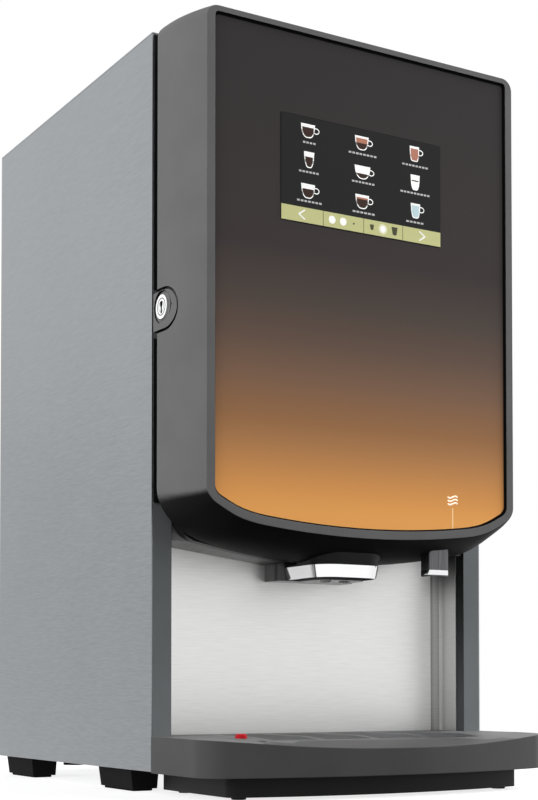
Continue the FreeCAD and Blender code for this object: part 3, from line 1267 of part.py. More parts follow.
def make_power_board():
    """Circuit board on four posts from the right side, with its main components."""
    x = INNER - 10
    face = x - BOARD_THICK
    y0, y1 = BOARD_Y
    z0, z1 = BOARD_Z
    board = box(face, x, y0, y1, z0, z1)
    posts = [along_x(3.0, y, z, x, INNER) for y in (y0 + 6, y1 - 6) for z in (z0 + 6, z1 - 6)]
    sink = [box(face - 3, face, y0 + 10, y0 + 50, z0 + 20, z0 + 80)]
    fins = [box(face - 14, face - 3, y0 + 10 + 8 * i, y0 + 12 + 8 * i, z0 + 20, z0 + 80) for i in range(5)]
    relays = [box(face - 15, face, y1 - 36, y1 - 20, z0 + 12 + 26 * i, z0 + 32 + 26 * i) for i in range(3)]
    caps = [along_x(8.0, y0 + 28, z, face - 21, face) for z in (z1 - 58, z1 - 36)]
    plugs = [box(face - 9, face, y1 - 42, y1 - 6, z1 - 60 + 18 * i, z1 - 52 + 18 * i) for i in range(3)]
    return fuse([board] + posts + sink + fins + relays + caps + plugs)


def make_transformer():
    """Transformer on the base plate: iron core and wound bobbin."""
    z = CABINET_BOTTOM + FRAME_SHEET
    top = z + CORE_HEIGHT
    x0, x1 = CORE_X
    y0, y1 = CORE_Y
    limb = CORE_LIMB
    middle = (x0 + x1) / 2
    core = box(x0, x1, y0, y1, z, top).cut(box(x0 + limb, x1 - limb, y0 - 1, y1 + 1, z + limb, top - limb))
    leg = box(middle - 7, middle + 7, y0, y1, z + limb, top - limb)
    foot = box(x0 - 8, x1 + 8, y0 + 6, y1 - 6, z, z + 2)
    coil = rounded_plate(x0 + limb + 1, x1 - limb - 1, y0 - 10, y1 + 10, z + limb + 1, top - limb - 1, 6.0)
    return fuse([core, leg, foot, coil])


def make_power_inlet():
    """Mains socket with the switch housing beside it, set in the back panel."""
    y = BACK_INNER + SHEET
    x0, x1 = POWER_CUT
    z = POWER_Z
    flange = rounded_box_y(x0 - 4, x1 + 4, z - 19, z + 19, y, y + 1.2, 4.0)
    body = box(x0 + 0.3, x1 - 0.3, y - 26, y, z - 14.7, z + 14.7)
    unit = fuse([flange, body])
    unit = unit.cut(rounded_box_y(SOCKET_X - 12.5, SOCKET_X + 12.5, z - 8.5, z + 8.5, y - 16, y + 3, 3.0))
    unit = unit.cut(box(ROCKER_X - 6.5, ROCKER_X + 6.5, y - 10, y + 3, z - 11, z + 11))
    blades = [box(SOCKET_X + dx - 1, SOCKET_X + dx + 1, y - 17, y - 2, z + dz - 2, z + dz + 2)
              for dx, dz in ((-7, 2), (0, -2.5), (7, 2))]
    return fuse([unit] + blades)


def make_power_rocker():
    """Rocker cap with a shallow bend, on a pin across the switch."""
    y = BACK_INNER + SHEET
    z = POWER_Z
    face = [(y - 6, z - 9.5), (y + 0.4, z - 9.5), (y - 1.2, z), (y + 0.4, z + 9.5), (y - 6, z + 9.5), (y - 8, z)]
    cap = prism(face, "X", ROCKER_X - 6, ROCKER_X + 6)
    pivot = y - ROCKER_PIVOT
    pin = along_x(1.5, pivot, z, ROCKER_X - 6.45, ROCKER_X + 6.45)
    rocker = cap.fuse(pin).removeSplitter()
    rocker.rotate(V(ROCKER_X, pivot, z), V(1, 0, 0), -ROCKER_TILT)
    return rocker


# Drip tray

def scoop(lower=0.0):
    """Space above the dished front of the tray top: two slopes, fading out towards the sides."""
    top = TRAY_TOP - lower
    crease_y, crease_drop = SCOOP_CREASE
    front_y, front_drop = SCOOP_FRONT
    first = crease_drop / (crease_y - SCOOP_START)
    second = (front_drop - crease_drop) / (front_y - crease_y)
    wires = []
    for y, drop in ((SCOOP_START - 5, -5 * first), (crease_y, crease_drop), (front_y + 10, front_drop + 10 * second)):
        points = [V(HALF * i / 10, -y, top - drop * (1 - abs(i / 10) ** 3)) for i in range(-11, 12)]
        curve = Part.BSplineCurve()
        curve.interpolate(points)
        high = [V(points[-1].x, -y, TRAY_TOP + 20), V(points[0].x, -y, TRAY_TOP + 20)]
        wires.append(Part.Wire([
            curve.toShape(),
            Part.LineSegment(points[-1], high[0]).toShape(),
            Part.LineSegment(high[0], high[1]).toShape(),
            Part.LineSegment(high[1], points[0]).toShape(),
        ]))
    return Part.makeLoft(wires, True, True)


def make_tray_rim():
    """Outer band and deck of the tray, dished in front, with a ledge for the grid and a hole for the float."""
    rim = tray_block(TRAY_BAND_BOTTOM, TRAY_TOP)
    hollow = tray_block(TRAY_BAND_BOTTOM - 1, TRAY_TOP - TRAY_WALL, TRAY_WALL).cut(scoop(TRAY_WALL))
    rim = rim.cut(hollow)
    edge = 3.5
    z0 = TRAY_TOP - GRID_THICK - LEDGE
    ledge = rounded_plate(-GRID_HALF - edge, GRID_HALF + edge, -GRID_FRONT - edge, GRID_REAR + edge,
                          z0, TRAY_TOP - TRAY_WALL, 9.0)
    rim = rim.fuse(ledge)
    rim = rim.cut(rounded_plate(-GRID_HALF - SEAT, GRID_HALF + SEAT, -GRID_FRONT - SEAT, GRID_REAR + SEAT,
                                TRAY_TOP - GRID_THICK, TRAY_TOP + 1, 6.0))
    rim = rim.cut(rounded_plate(-GRID_HALF + 4, GRID_HALF - 4, -GRID_FRONT + 4, GRID_REAR - 4, z0 - 1,
                                TRAY_TOP + 1, 4.0))
    rim = rim.cut(scoop())
    guide = along_z(FLOAT_STEM + 4, FLOAT_X, FLOAT_Y, z0, TRAY_TOP - TRAY_WALL)
    rim = rim.fuse(guide).cut(along_z(FLOAT_STEM + SEAT, FLOAT_X, FLOAT_Y, z0 - 1, TRAY_TOP + 1))
    for x, y, radius in DECK_HOLES:
        rim = rim.cut(along_z(radius, x, y, TRAY_BAND_BOTTOM, TRAY_TOP + 1))
    return biggest(rim)


def make_drip_basin():
    """Basin under the rim, its edge following the scoop, standing on four low feet."""
    top = TRAY_TOP - TRAY_WALL - SEAT
    basin = basin_block(BASIN_BOTTOM, top)
    basin = basin.cut(basin_block(BASIN_BOTTOM + BASIN_WALL, top + 1, BASIN_WALL))
    basin = basin.cut(scoop(TRAY_WALL + SEAT))
    foot_x = BASIN_HALF - 13
    feet = [along_z(BASIN_FOOT, x, y, 0, BASIN_BOTTOM) for x in (-foot_x, foot_x) for y in (-71, 14)]
    boss = along_z(8.0, FLOAT_X, FLOAT_Y, BASIN_BOTTOM, FLOAT_REST - SEAT)
    guide = along_z(2.0, FLOAT_X, FLOAT_Y, BASIN_BOTTOM, FLOAT_REST + 20)
    return fuse([basin, boss, guide] + feet)


def make_drip_grid():
    """Slotted plate that cups stand on, its front edge dished like the deck."""
    z0 = TRAY_TOP - GRID_THICK
    plate = rounded_plate(-GRID_HALF, GRID_HALF, -GRID_FRONT, GRID_REAR, z0, TRAY_TOP, 5.7)
    step = (GRID_REAR + GRID_FRONT - 14) / GRID_SLOTS
    slots = []
    for i in range(GRID_SLOTS):
        y = -GRID_FRONT + 7 + step * (i + 0.5)
        for side in (-1, 1):
            for near, far in ((4, GRID_HALF / 2 - 4), (GRID_HALF / 2 + 4, GRID_HALF - 7)):
                x0, x1 = sorted((side * near, side * far))
                slots.append(box(x0, x1, y - step * 0.3, y + step * 0.3, z0 - 1, TRAY_TOP + 1))
    return plate.cut(Part.makeCompound(slots)).cut(scoop())


def make_float():
    """Red level float: disc in the basin and a stem with a domed tip through the deck."""
    disc = along_z(13.0, FLOAT_X, FLOAT_Y, FLOAT_REST, FLOAT_REST + 8)
    stem = along_z(FLOAT_STEM, FLOAT_X, FLOAT_Y, FLOAT_REST, FLOAT_TOP)
    stem = stem.makeFillet(2.0, [e for e in stem.Edges if abs(e.BoundBox.ZMin - FLOAT_TOP) < 1e-6
                                 and abs(e.BoundBox.ZMax - FLOAT_TOP) < 1e-6])
    return disc.fuse(stem).removeSplitter().cut(along_z(2.0 + SEAT / 2, FLOAT_X, FLOAT_Y, 0, FLOAT_REST + 20.5))


side_panel = make_side_panel()
column = make_column()
save("base_plate", make_base_plate())
save("left_side_panel", mirrored(side_panel))
save("right_side_panel", side_panel)
save("back_panel", make_back_panel())
save("top_cover", make_top_cover())
save("left_column", mirrored(column))
save("right_column", column)
save("splash_panel", make_splash_panel())
save("mounting_wall", make_mounting_wall())
save("canister_shelf", make_canister_shelf())
save("feet", *make_feet())
save("drain_plug", make_drain_plug())
save("hinge_brackets", *make_hinge_brackets())
save("door_shell", make_door_shell())
save("front_window", make_front_window())
save("display_module", make_display_module())
save("door_liner", make_door_liner())
save("outlet_cowl", *make_outlet_cowl())
save("chrome_trim", *make_chrome_trim())
save("door_catch", make_door_catch())
save("lock_housing", make_lock_housing())
save("lock_barrel", *make_lock_barrel())
save("cover_screws", *make_cover_screws())
save("nozzle_block", make_nozzle_block())
save("mixer_hoses", *make_mixer_hoses())
save("hot_water_tube", make_hot_water_tube())
for name, side in (("left", -1), ("right", 1)):
    x = side * CANISTER_PITCH / 2
    save(name + "_canister", make_canister(x))
    save(name + "_auger", make_auger(x))
    save(name + "_outlet_elbow", make_outlet_elbow(x))
    save(name + "_mixing_bowl", make_mixing_bowl(x))
    save(name + "_locking_ring", make_locking_ring(x))
    save(name + "_impeller", make_impeller(x))
save("canister_lids", *make_canister_lids())
save("auger_motors", *make_auger_motors())
save("mixer_motors", *make_mixer_motors())
save("steam_duct", make_steam_duct())
save("fan_housing", make_fan_housing())
save("fan_rotor", make_fan_rotor())
save("boiler_tank", make_boiler_tank())
save("boiler_lid", make_boiler_lid())
save("boiler_heater", *make_boiler_heater())
save("boiler_bracket", make_boiler_bracket())
save("outlet_valves", *make_outlet_valves())
save("inlet_valve", make_inlet_valve())
save("water_hoses", *make_water_hoses())
save("power_board", make_power_board())
save("transformer", make_transformer())
save("power_inlet", make_power_inlet())
save("power_rocker", make_power_rocker())
save("tray_rim", make_tray_rim())
save("drip_basin", make_drip_basin())
save("drip_grid", make_drip_grid())
save("float", make_float())
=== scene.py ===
# %% [markdown]
# # Dressing an instant drink dispenser
# The construction comes from the CAD pack and stays where it is. This lesson gives every part its finish, softens
# the edges that the eye sees, builds the small things that a CAD model leaves out, and sets up a plain studio with
# the photograph's viewing angle. All lengths are in metres: X runs to the right seen from the front, Y to the back
# and Z up from the table.

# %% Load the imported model
import bpy
import json
import math
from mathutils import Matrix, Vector

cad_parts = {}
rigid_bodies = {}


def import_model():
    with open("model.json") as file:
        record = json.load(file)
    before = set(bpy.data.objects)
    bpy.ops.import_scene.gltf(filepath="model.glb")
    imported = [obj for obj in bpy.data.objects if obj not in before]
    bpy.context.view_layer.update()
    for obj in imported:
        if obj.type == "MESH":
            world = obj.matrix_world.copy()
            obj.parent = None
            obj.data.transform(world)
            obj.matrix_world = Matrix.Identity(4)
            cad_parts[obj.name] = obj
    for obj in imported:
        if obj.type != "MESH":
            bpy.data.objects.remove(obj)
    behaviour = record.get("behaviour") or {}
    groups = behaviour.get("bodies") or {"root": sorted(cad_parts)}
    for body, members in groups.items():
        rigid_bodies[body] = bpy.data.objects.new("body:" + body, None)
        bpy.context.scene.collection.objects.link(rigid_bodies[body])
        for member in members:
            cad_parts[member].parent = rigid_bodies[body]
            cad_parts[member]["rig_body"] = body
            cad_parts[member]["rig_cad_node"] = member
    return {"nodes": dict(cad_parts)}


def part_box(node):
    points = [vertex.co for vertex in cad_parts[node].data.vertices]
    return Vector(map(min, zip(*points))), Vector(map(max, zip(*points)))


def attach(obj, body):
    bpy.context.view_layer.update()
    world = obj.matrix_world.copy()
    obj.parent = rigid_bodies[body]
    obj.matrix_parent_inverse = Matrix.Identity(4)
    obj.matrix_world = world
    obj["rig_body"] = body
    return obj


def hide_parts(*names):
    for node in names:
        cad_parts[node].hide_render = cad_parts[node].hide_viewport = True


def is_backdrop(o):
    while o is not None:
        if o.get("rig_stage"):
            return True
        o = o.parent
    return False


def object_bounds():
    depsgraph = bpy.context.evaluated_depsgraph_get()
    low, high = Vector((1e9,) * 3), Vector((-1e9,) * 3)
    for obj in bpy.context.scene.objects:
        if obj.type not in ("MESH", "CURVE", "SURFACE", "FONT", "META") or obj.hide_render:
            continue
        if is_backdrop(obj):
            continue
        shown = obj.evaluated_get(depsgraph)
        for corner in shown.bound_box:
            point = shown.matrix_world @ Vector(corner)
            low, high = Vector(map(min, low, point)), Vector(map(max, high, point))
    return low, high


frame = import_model()
CAD_LOW, CAD_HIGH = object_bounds()
MM = 0.001
print("CAD box", [round(v, 4) for v in CAD_LOW], [round(v, 4) for v in CAD_HIGH])

# %% [markdown]
# ## Places that come back often
# The plane of the window and the lower left corner of the display are read from the nodes' boxes, so that seals and
# prints lie on them.

# %% Places read from the frame
WINDOW_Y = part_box("front_window")[0].y
DISPLAY_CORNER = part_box("display_module")[0]
GLASS_Y = DISPLAY_CORNER.y
print("window plane", round(WINDOW_Y, 4), "display glass", round(GLASS_Y, 4))

# %% [markdown]
# ## The camera
# The photograph was taken from a little above the table, from the left, with a long lens. Its upright edges are
# parallel, which comes from a lens that is shifted upwards. Here most of the view upwards comes from the shift and
# less than two degrees from a tilt, which moves no edge by more than about two pixels.

# %% Camera
camera_data = bpy.data.cameras.new("camera")
camera = bpy.data.objects.new("camera", camera_data)
bpy.context.scene.collection.objects.link(camera)
camera.location = (-0.6769, -1.1615, 0.0842)
camera.rotation_euler = (math.radians(91.727), 0, math.radians(-30.541))
camera_data.lens = 68.43
camera_data.sensor_width = 36
camera_data.shift_y = 0.3
bpy.context.scene.camera = camera

# %% [markdown]
# ## A node helper and a colour helper
# Every finish below is a small graph of shader nodes. One function adds a node, sets it and links it. Colours are
# written as the hex values that a paint program shows, and one function turns them into the linear values that
# the shaders work with.

# %% Helpers for materials
def linear(hex_colour):
    """Linear RGBA of an sRGB hex colour."""
    shares = [int(hex_colour[i:i + 2], 16) / 255 for i in (1, 3, 5)]
    curve = [s / 12.92 if s <= 0.04045 else ((s + 0.055) / 1.055) ** 2.4 for s in shares]
    return (*curve, 1.0)


def add_node(tree, kind, inputs=None, **settings):
    """Add a shader node; an input is a value or another node's output socket."""
    made = tree.nodes.new("ShaderNode" + kind)
    for name, value in settings.items():
        setattr(made, name, value)
    for name, value in (inputs or {}).items():
        socket = made.inputs[name]
        if isinstance(value, bpy.types.NodeSocket):
            tree.links.new(value, socket)
        else:
            socket.default_value = value
    return made


def new_material(name):
    """Empty node material; returns it with its tree and the object coordinates."""
    material = bpy.data.materials.new(name)
    material.use_nodes = True
    tree = material.node_tree
    tree.nodes.clear()
    place = add_node(tree, "TexCoord").outputs["Object"]
    return material, tree, place


def close_material(tree, inputs):
    """Principled shader with these inputs as the material's surface."""
    shader = add_node(tree, "BsdfPrincipled", inputs)
    add_node(tree, "OutputMaterial", {"Surface": shader.outputs["BSDF"]})


def noise(tree, place, scale, detail, roughness=0.5):
    """Socket with cloudy noise from 0 to 1."""
    inputs = {"Vector": place, "Scale": scale, "Detail": detail, "Roughness": roughness}
    return add_node(tree, "TexNoise", inputs).outputs["Fac"]


def bumps(tree, height, strength, depth):
    """Socket with the normals of a surface that a height makes uneven."""
    return add_node(tree, "Bump", {"Height": height, "Strength": strength, "Distance": depth}).outputs["Normal"]


def ramp(tree, factor, stops):
    """Colour ramp with stops of position and hex colour."""
    made = add_node(tree, "ValToRGB", {"Fac": factor})
    band = made.color_ramp
    while len(band.elements) < len(stops):
        band.elements.new(0.5)
    for element, (position, colour) in zip(band.elements, stops):
        element.position = position
        element.color = linear(colour)
    return made.outputs["Color"]


def map_range(tree, value, low, high, to_low=0.0, to_high=1.0, smooth=False):
    """Socket with the value carried from one range to another."""
    limits = {"Value": value, "From Min": low, "From Max": high, "To Min": to_low, "To Max": to_high}
    return add_node(tree, "MapRange", limits, interpolation_type="SMOOTHSTEP" if smooth else "LINEAR"
                    ).outputs["Result"]


def blend(tree, share, first, second):
    """Socket with a mix of two colours."""
    return add_node(tree, "Mix", {"Factor": share, "A": first, "B": second}, data_type="RGBA").outputs["Result"]


def along_z(tree, vector):
    """Socket with the Z part of a vector."""
    return add_node(tree, "SeparateXYZ", {"Vector": vector}).outputs["Z"]


# Heights between which painted shade darkens the bay's corners and the columns' inner sides.
BEND_SHADE_HEIGHTS = (0.152, 0.196)
INNER_SIDE_SHADE_HEIGHTS = (0.05, 0.2)


def painted_shade_above(tree, place, heights, colour, top):
    """Painted shade: a colour that turns into a darker one between two heights."""
    return blend(tree, map_range(tree, along_z(tree, place), *heights, smooth=True), colour, linear(top))


# %% [markdown]
# ## Brushed stainless steel
# Sheet steel for kitchens is ground with a belt, which leaves fine scratches in one direction. They are about
# 0.1 mm wide and one or two centimetres long. So fine a grain would not show here, so the streaks are drawn half a
# millimetre to two millimetres wide. The same streaks move the colour, the roughness and the bump, each a little.
# The corners of the cup bay mirror the door's black underside, more so towards the top. Their finish carries this as
# painted shade and painted reflection: a darker copy of the bay steel, darker still towards the top.

# %% Brushed steel
def brushed_steel(name, light, dark, across, width=0.5 * MM, length=14 * MM, roughness=0.36, strength=0.15,
                  above=None):
    """Steel sheet with streaks: across holds the axis letters that a streak is thin in."""
    material, tree, place = new_material(name)
    fine = [1.0 / width if letter in across else 1.0 / length for letter in "XYZ"]
    drawn_out = add_node(tree, "Mapping", {"Vector": place, "Scale": fine}).outputs["Vector"]
    streaks = noise(tree, drawn_out, 1.0, 1.5, 0.6)
    cloud = noise(tree, place, 9.0, 2.0)
    mixed = add_node(tree, "Mix", {"Factor": 0.2, "A": streaks, "B": cloud}).outputs["Result"]
    colour = ramp(tree, mixed, [(0.28, dark), (0.72, light)])
    # Painted shade: the colour turns darker towards the top.
    if above:
        colour = painted_shade_above(tree, place, BEND_SHADE_HEIGHTS, colour, above)
    close_material(tree, {
        "Base Color": colour, "Metallic": 1.0, "Normal": bumps(tree, streaks, strength, 0.03 * MM),
        "Roughness": map_range(tree, mixed, 0.3, 0.7, roughness - 0.05, roughness + 0.05)})
    return material


SIDE_STEEL = brushed_steel("brushed_stainless_side", "#9a9ea1", "#868a8d", "Z", width=0.9 * MM)
TOP_STEEL = brushed_steel("brushed_stainless_top", "#9a9ea1", "#868a8d", "X", width=0.9 * MM)
BAY_STEEL = brushed_steel("brushed_stainless_bay", "#efefee", "#dfdfde", "Z", width=0.9 * MM, length=24 * MM,
                          roughness=0.42)
# Darker copies of the bay steel for its rounded corners and returns, darker still towards the top: painted shade and
# painted reflection of the door's black underside.
BEND_SHADE_STEEL = brushed_steel("bend_steel_painted_shade", "#9a9a99", "#8c8c8b", "Z", roughness=0.42, above="#4c4c4c")
RETURN_SHADE_STEEL = brushed_steel("return_steel_painted_shade", "#d8d8d7", "#cbcbca", "Z", roughness=0.42,
                             above="#4a4a4a")
SPOUT_STEEL = brushed_steel("dark_brushed_spout", "#77777a", "#515153", "XY", width=1.5 * MM, length=40 * MM)
INNER_STEEL = brushed_steel("mill_finish_sheet", "#b4b6b7", "#a6a8a9", "XZ", width=2 * MM)
PART_STEEL = brushed_steel("satin_steel_parts", "#a8a9ab", "#939496", "Z", length=5 * MM)
GRID_STEEL = brushed_steel("brushed_grid_steel", "#7c7d7f", "#626365", "Y", roughness=0.4)
print("steels", SIDE_STEEL.name, BAY_STEEL.name, INNER_STEEL.name, PART_STEEL.name, GRID_STEEL.name)

# %% [markdown]
# ## Moulded ABS
# The door, the tray and the small housings are injection moulded. The mould is spark eroded, which gives the
# plastic a fine even grain: small bumps of about 0.3 mm that spread the highlights, so the specular level is low.
# The door's grey is painted black on its underside as painted shade, since little light comes from below. The shade
# fades in softly round the lower edge, which a ramp over the surface's direction gives: black where it faces down. A
# second ramp, over the height, darkens a colour towards the top, also as painted shade.

# %% Moulded plastic
def moulded_plastic(name, colour, shade, grain=0.35 * MM, roughness=0.5, strength=0.25, specular=0.12,
                    below=None, above=None):
    """Grained ABS with a slight cloudiness in its colour."""
    material, tree, place = new_material(name)
    pits = noise(tree, place, 1.0 / grain, 1.0)
    tint = ramp(tree, noise(tree, place, 25.0, 2.0), [(0.35, shade), (0.65, colour)])
    # Painted shade: the colour turns into the darker one on faces that look down.
    if below:
        facing = along_z(tree, add_node(tree, "NewGeometry").outputs["Normal"])
        tint = blend(tree, map_range(tree, facing, -0.1, -0.45, smooth=True), tint, linear(below))
    # Painted shade: the colour turns darker towards the top.
    if above:
        tint = painted_shade_above(tree, place, INNER_SIDE_SHADE_HEIGHTS, tint, above)
    close_material(tree, {
        "Base Color": tint, "Roughness": map_range(tree, pits, 0.35, 0.65, roughness - 0.06, roughness + 0.06),
        "Normal": bumps(tree, pits, strength, 0.04 * MM), "Specular IOR Level": specular})
    return material


# The door grey turns black on faces that look down: painted shade of the underside.
DOOR_GREY = moulded_plastic("door_abs_painted_shade_below", "#737373", "#6f6f6f", specular=0.02, below="#1c1c1c")
TRAY_GREY = moulded_plastic("tray_grey_abs", "#515151", "#4d4d4d")
# The tray's upper face is lighter than the rest of the tray: painted light from above.
DECK_PAINTED_LIGHT = moulded_plastic("tray_deck_painted_light_abs", "#6c6c6c", "#666666")
BASIN_BLACK = moulded_plastic("basin_black_abs", "#242424", "#202020")
COWL_BLACK = moulded_plastic("cowl_black_abs", "#1b1b1b", "#181818", roughness=0.42)
NOZZLE_GREY = moulded_plastic("nozzle_grey_polyamide", "#4e4e4f", "#474748", roughness=0.3, specular=0.4)
# Black for gaps, holes, slots and the walls of recesses: painted shade of those hollows.
GAP_BLACK = moulded_plastic("gap_black_painted_shade", "#0e0e0e", "#0b0b0b", roughness=0.7, specular=0.05)
BLACK_PLASTIC = moulded_plastic("black_polyamide", "#1c1c1d", "#181819", roughness=0.45)
LINER_GREY = moulded_plastic("liner_grey_abs", "#6f7173", "#6a6c6e")
FLOAT_RED = moulded_plastic("float_red_pp", "#c8232c", "#b81d26", roughness=0.35)
WHITE_PLASTIC = moulded_plastic("white_acetal", "#dcdcd8", "#d2d2ce", roughness=0.4)
COLUMN_GREY = moulded_plastic("column_powder_coat", "#7c8082", "#777b7d", grain=0.6 * MM, roughness=0.45)
# A darker copy of the column grey for the sides that look into the cup bay, almost black towards the top: painted
# shade under the door.
COLUMN_SHADE = moulded_plastic("column_side_painted_shade", "#4c4f50", "#484b4c", grain=0.6 * MM, above="#101010")
MOTOR_GREY = moulded_plastic("motor_grey_lacquer", "#5c5f63", "#55585c", roughness=0.4)
RUBBER = moulded_plastic("black_rubber", "#161616", "#121212", roughness=0.8, specular=0.1)
CIRCUIT = moulded_plastic("green_circuit_board", "#17633a", "#125631", roughness=0.35)
IRON = moulded_plastic("dipped_iron", "#3a3b3e", "#303134", roughness=0.5)

# %% [markdown]
# ## Chrome, clear plastic and silicone
# Chrome is a mirror with almost no colour. Canisters and bowls are clear polycarbonate that has a light haze, and
# the hoses are milky silicone.

# %% Smooth finishes
def smooth_finish(name, colour, metallic=0.0, roughness=0.1, transmission=0.0, ior=1.5, specular=0.5):
    """Even finish with only faint wipe marks in its roughness."""
    material, tree, place = new_material(name)
    wipes = noise(tree, place, 40.0, 3.0)
    close_material(tree, {
        "Base Color": linear(colour), "Metallic": metallic,
        "Roughness": map_range(tree, wipes, 0.3, 0.7, roughness, roughness + 0.04),
        "Transmission Weight": transmission, "IOR": ior, "Specular IOR Level": specular})
    return material


CHROME = smooth_finish("polished_chrome", "#f2f2f3", metallic=1.0, roughness=0.05)
CLEAR = smooth_finish("clear_polycarbonate", "#e6ecef", roughness=0.12, transmission=0.85)
SILICONE = smooth_finish("milky_silicone", "#d8d8d2", roughness=0.4, transmission=0.25, ior=1.41)
BRASS = smooth_finish("plain_brass", "#c9a45c", metallic=1.0, roughness=0.3)

# %% [markdown]
# ## The printed window
# The door's window is clear acrylic, printed on its back: almost black above, then brown, then amber at the bottom.
# The print also glows weakly in its own colours, which is painted light that keeps the window evenly bright. The fade
# follows the height, so a ramp over the object's Z gives it. Over the print lies a gloss that shows mostly at flat
# angles.

# %% Window print
PRINT_HEIGHTS = [
    (0.2185, "#dd9c56"), (0.2278, "#d79652"), (0.2434, "#c68a4f"), (0.2589, "#b37e4d"), (0.2744, "#9f724a"),
    (0.2900, "#8e6645"), (0.3210, "#755a48"), (0.3521, "#5c4b42"), (0.3832, "#49403b"), (0.4220, "#383232"),
    (0.5851, "#2f2d2e")]


def window_print():
    """Fade from dark brown to amber that glows a little as painted light, under clear gloss."""
    material, tree, place = new_material("printed_acrylic_window")
    low, high = 0.2, 0.6
    stops = [((height - low) / (high - low), colour) for height, colour in PRINT_HEIGHTS]
    fade = ramp(tree, map_range(tree, along_z(tree, place), low, high), stops)
    close_material(tree, {
        "Base Color": fade, "Roughness": 0.5, "Specular IOR Level": 0.05, "Coat Weight": 0.15,
        "Coat Roughness": 0.04, "Emission Color": fade, "Emission Strength": 0.3})
    return material


WINDOW = window_print()
DISPLAY_GLASS = smooth_finish("display_glass", "#2a2a2b", roughness=0.1, specular=0.12)

# %% [markdown]
# ## Give every CAD node its finish
# The nodes keep their CAD shape and only take a material. A table of finish and node names does it in one loop.

# %% Finishes of the nodes
NODE_FINISHES = [
    (SIDE_STEEL, ["left_side_panel", "right_side_panel", "back_panel"]),
    (TOP_STEEL, ["top_cover"]),
    (BAY_STEEL, ["splash_panel"]),
    (INNER_STEEL, ["base_plate", "mounting_wall", "canister_shelf", "boiler_tank", "boiler_bracket"]),
    (PART_STEEL, ["hinge_brackets", "hot_water_tube", "boiler_lid", "boiler_heater", "door_catch"]),
    (GRID_STEEL, ["drip_grid"]),
    (COLUMN_GREY, ["left_column", "right_column"]),
    (DOOR_GREY, ["door_shell", "lock_housing"]),
    (TRAY_GREY, ["tray_rim"]),
    (BASIN_BLACK, ["drip_basin"]),
    (COWL_BLACK, ["outlet_cowl"]),
    (NOZZLE_GREY, ["nozzle_block"]),
    (CHROME, ["chrome_trim", "lock_barrel", "cover_screws"]),
    (WINDOW, ["front_window"]),
    (DISPLAY_GLASS, ["display_module"]),
    (LINER_GREY, ["door_liner"]),
    (RUBBER, ["feet"]),
    (BLACK_PLASTIC, ["drain_plug", "canister_lids", "steam_duct", "fan_housing", "fan_rotor", "power_inlet",
                     "left_outlet_elbow", "right_outlet_elbow", "left_locking_ring", "right_locking_ring",
                     "power_rocker"]),
    (CLEAR, ["left_canister", "right_canister", "left_mixing_bowl", "right_mixing_bowl"]),
    (SILICONE, ["mixer_hoses", "water_hoses"]),
    (WHITE_PLASTIC, ["left_auger", "right_auger", "left_impeller", "right_impeller", "outlet_valves"]),
    (MOTOR_GREY, ["auger_motors", "mixer_motors"]),
    (BRASS, ["inlet_valve"]),
    (CIRCUIT, ["power_board"]),
    (IRON, ["transformer"]),
    (FLOAT_RED, ["float"]),
]
for finish, names in NODE_FINISHES:
    for name in names:
        data = frame["nodes"][name].data
        data.materials.clear()
        data.materials.append(finish)
bare = sorted(set(frame["nodes"]) - {n for _, names in NODE_FINISHES for n in names})
print("nodes without a finish:", bare)

# %% [markdown]
# ## Short names for steps that come back
# Pieces are picked, opened in edit mode and settled many times, so these steps get short names. A new piece starts as
# a primitive at its place and is drawn to its size in edit mode.

# %% Pick, open, settle and draw
def mode(name):
    """Edit or object mode of the active piece."""
    bpy.ops.object.mode_set(mode=name)


def pick(piece):
    """Select one piece alone and make it the active one."""
    bpy.ops.object.select_all(action="DESELECT")
    piece.select_set(True)
    bpy.context.view_layer.objects.active = piece


def settle():
    """Apply the place and turn of the chosen piece to its points."""
    bpy.ops.object.transform_apply(location=True, rotation=True, scale=True)


def select_everything():
    """Select all points of the open piece."""
    bpy.ops.mesh.select_all(action="SELECT")


def smooth_below(angle):
    """Smooth shading of the chosen piece where faces meet at less than an angle in degrees."""
    bpy.ops.object.shade_smooth_by_angle(angle=math.radians(angle))


def scale(value, middle):
    """Scale what is selected in the open piece from a fixed point."""
    bpy.ops.transform.resize(value=value, center_override=middle)


def drawn(add, size, middle, **settings):
    """Primitive at its place, drawn from one metre to its size; it stays open in edit mode."""
    bpy.ops.object.select_all(action="DESELECT")
    add(size=1.0, location=middle, **settings)
    piece = bpy.context.active_object
    settle()
    mode("EDIT")
    scale(size, middle)
    return piece


# %% [markdown]
# ## Softened edges
# No real edge is a knife edge: a moulded one has a radius of a few tenths of a millimetre, a folded sheet about
# its own thickness. These thin rounds catch the light and draw the outline of each part. The CAD has none of them,
# so each part that the eye meets is copied, its loose triangles are merged into whole faces, and a Bevel modifier
# rounds every edge that is sharper than 30 degrees. The copy then stands for the node.

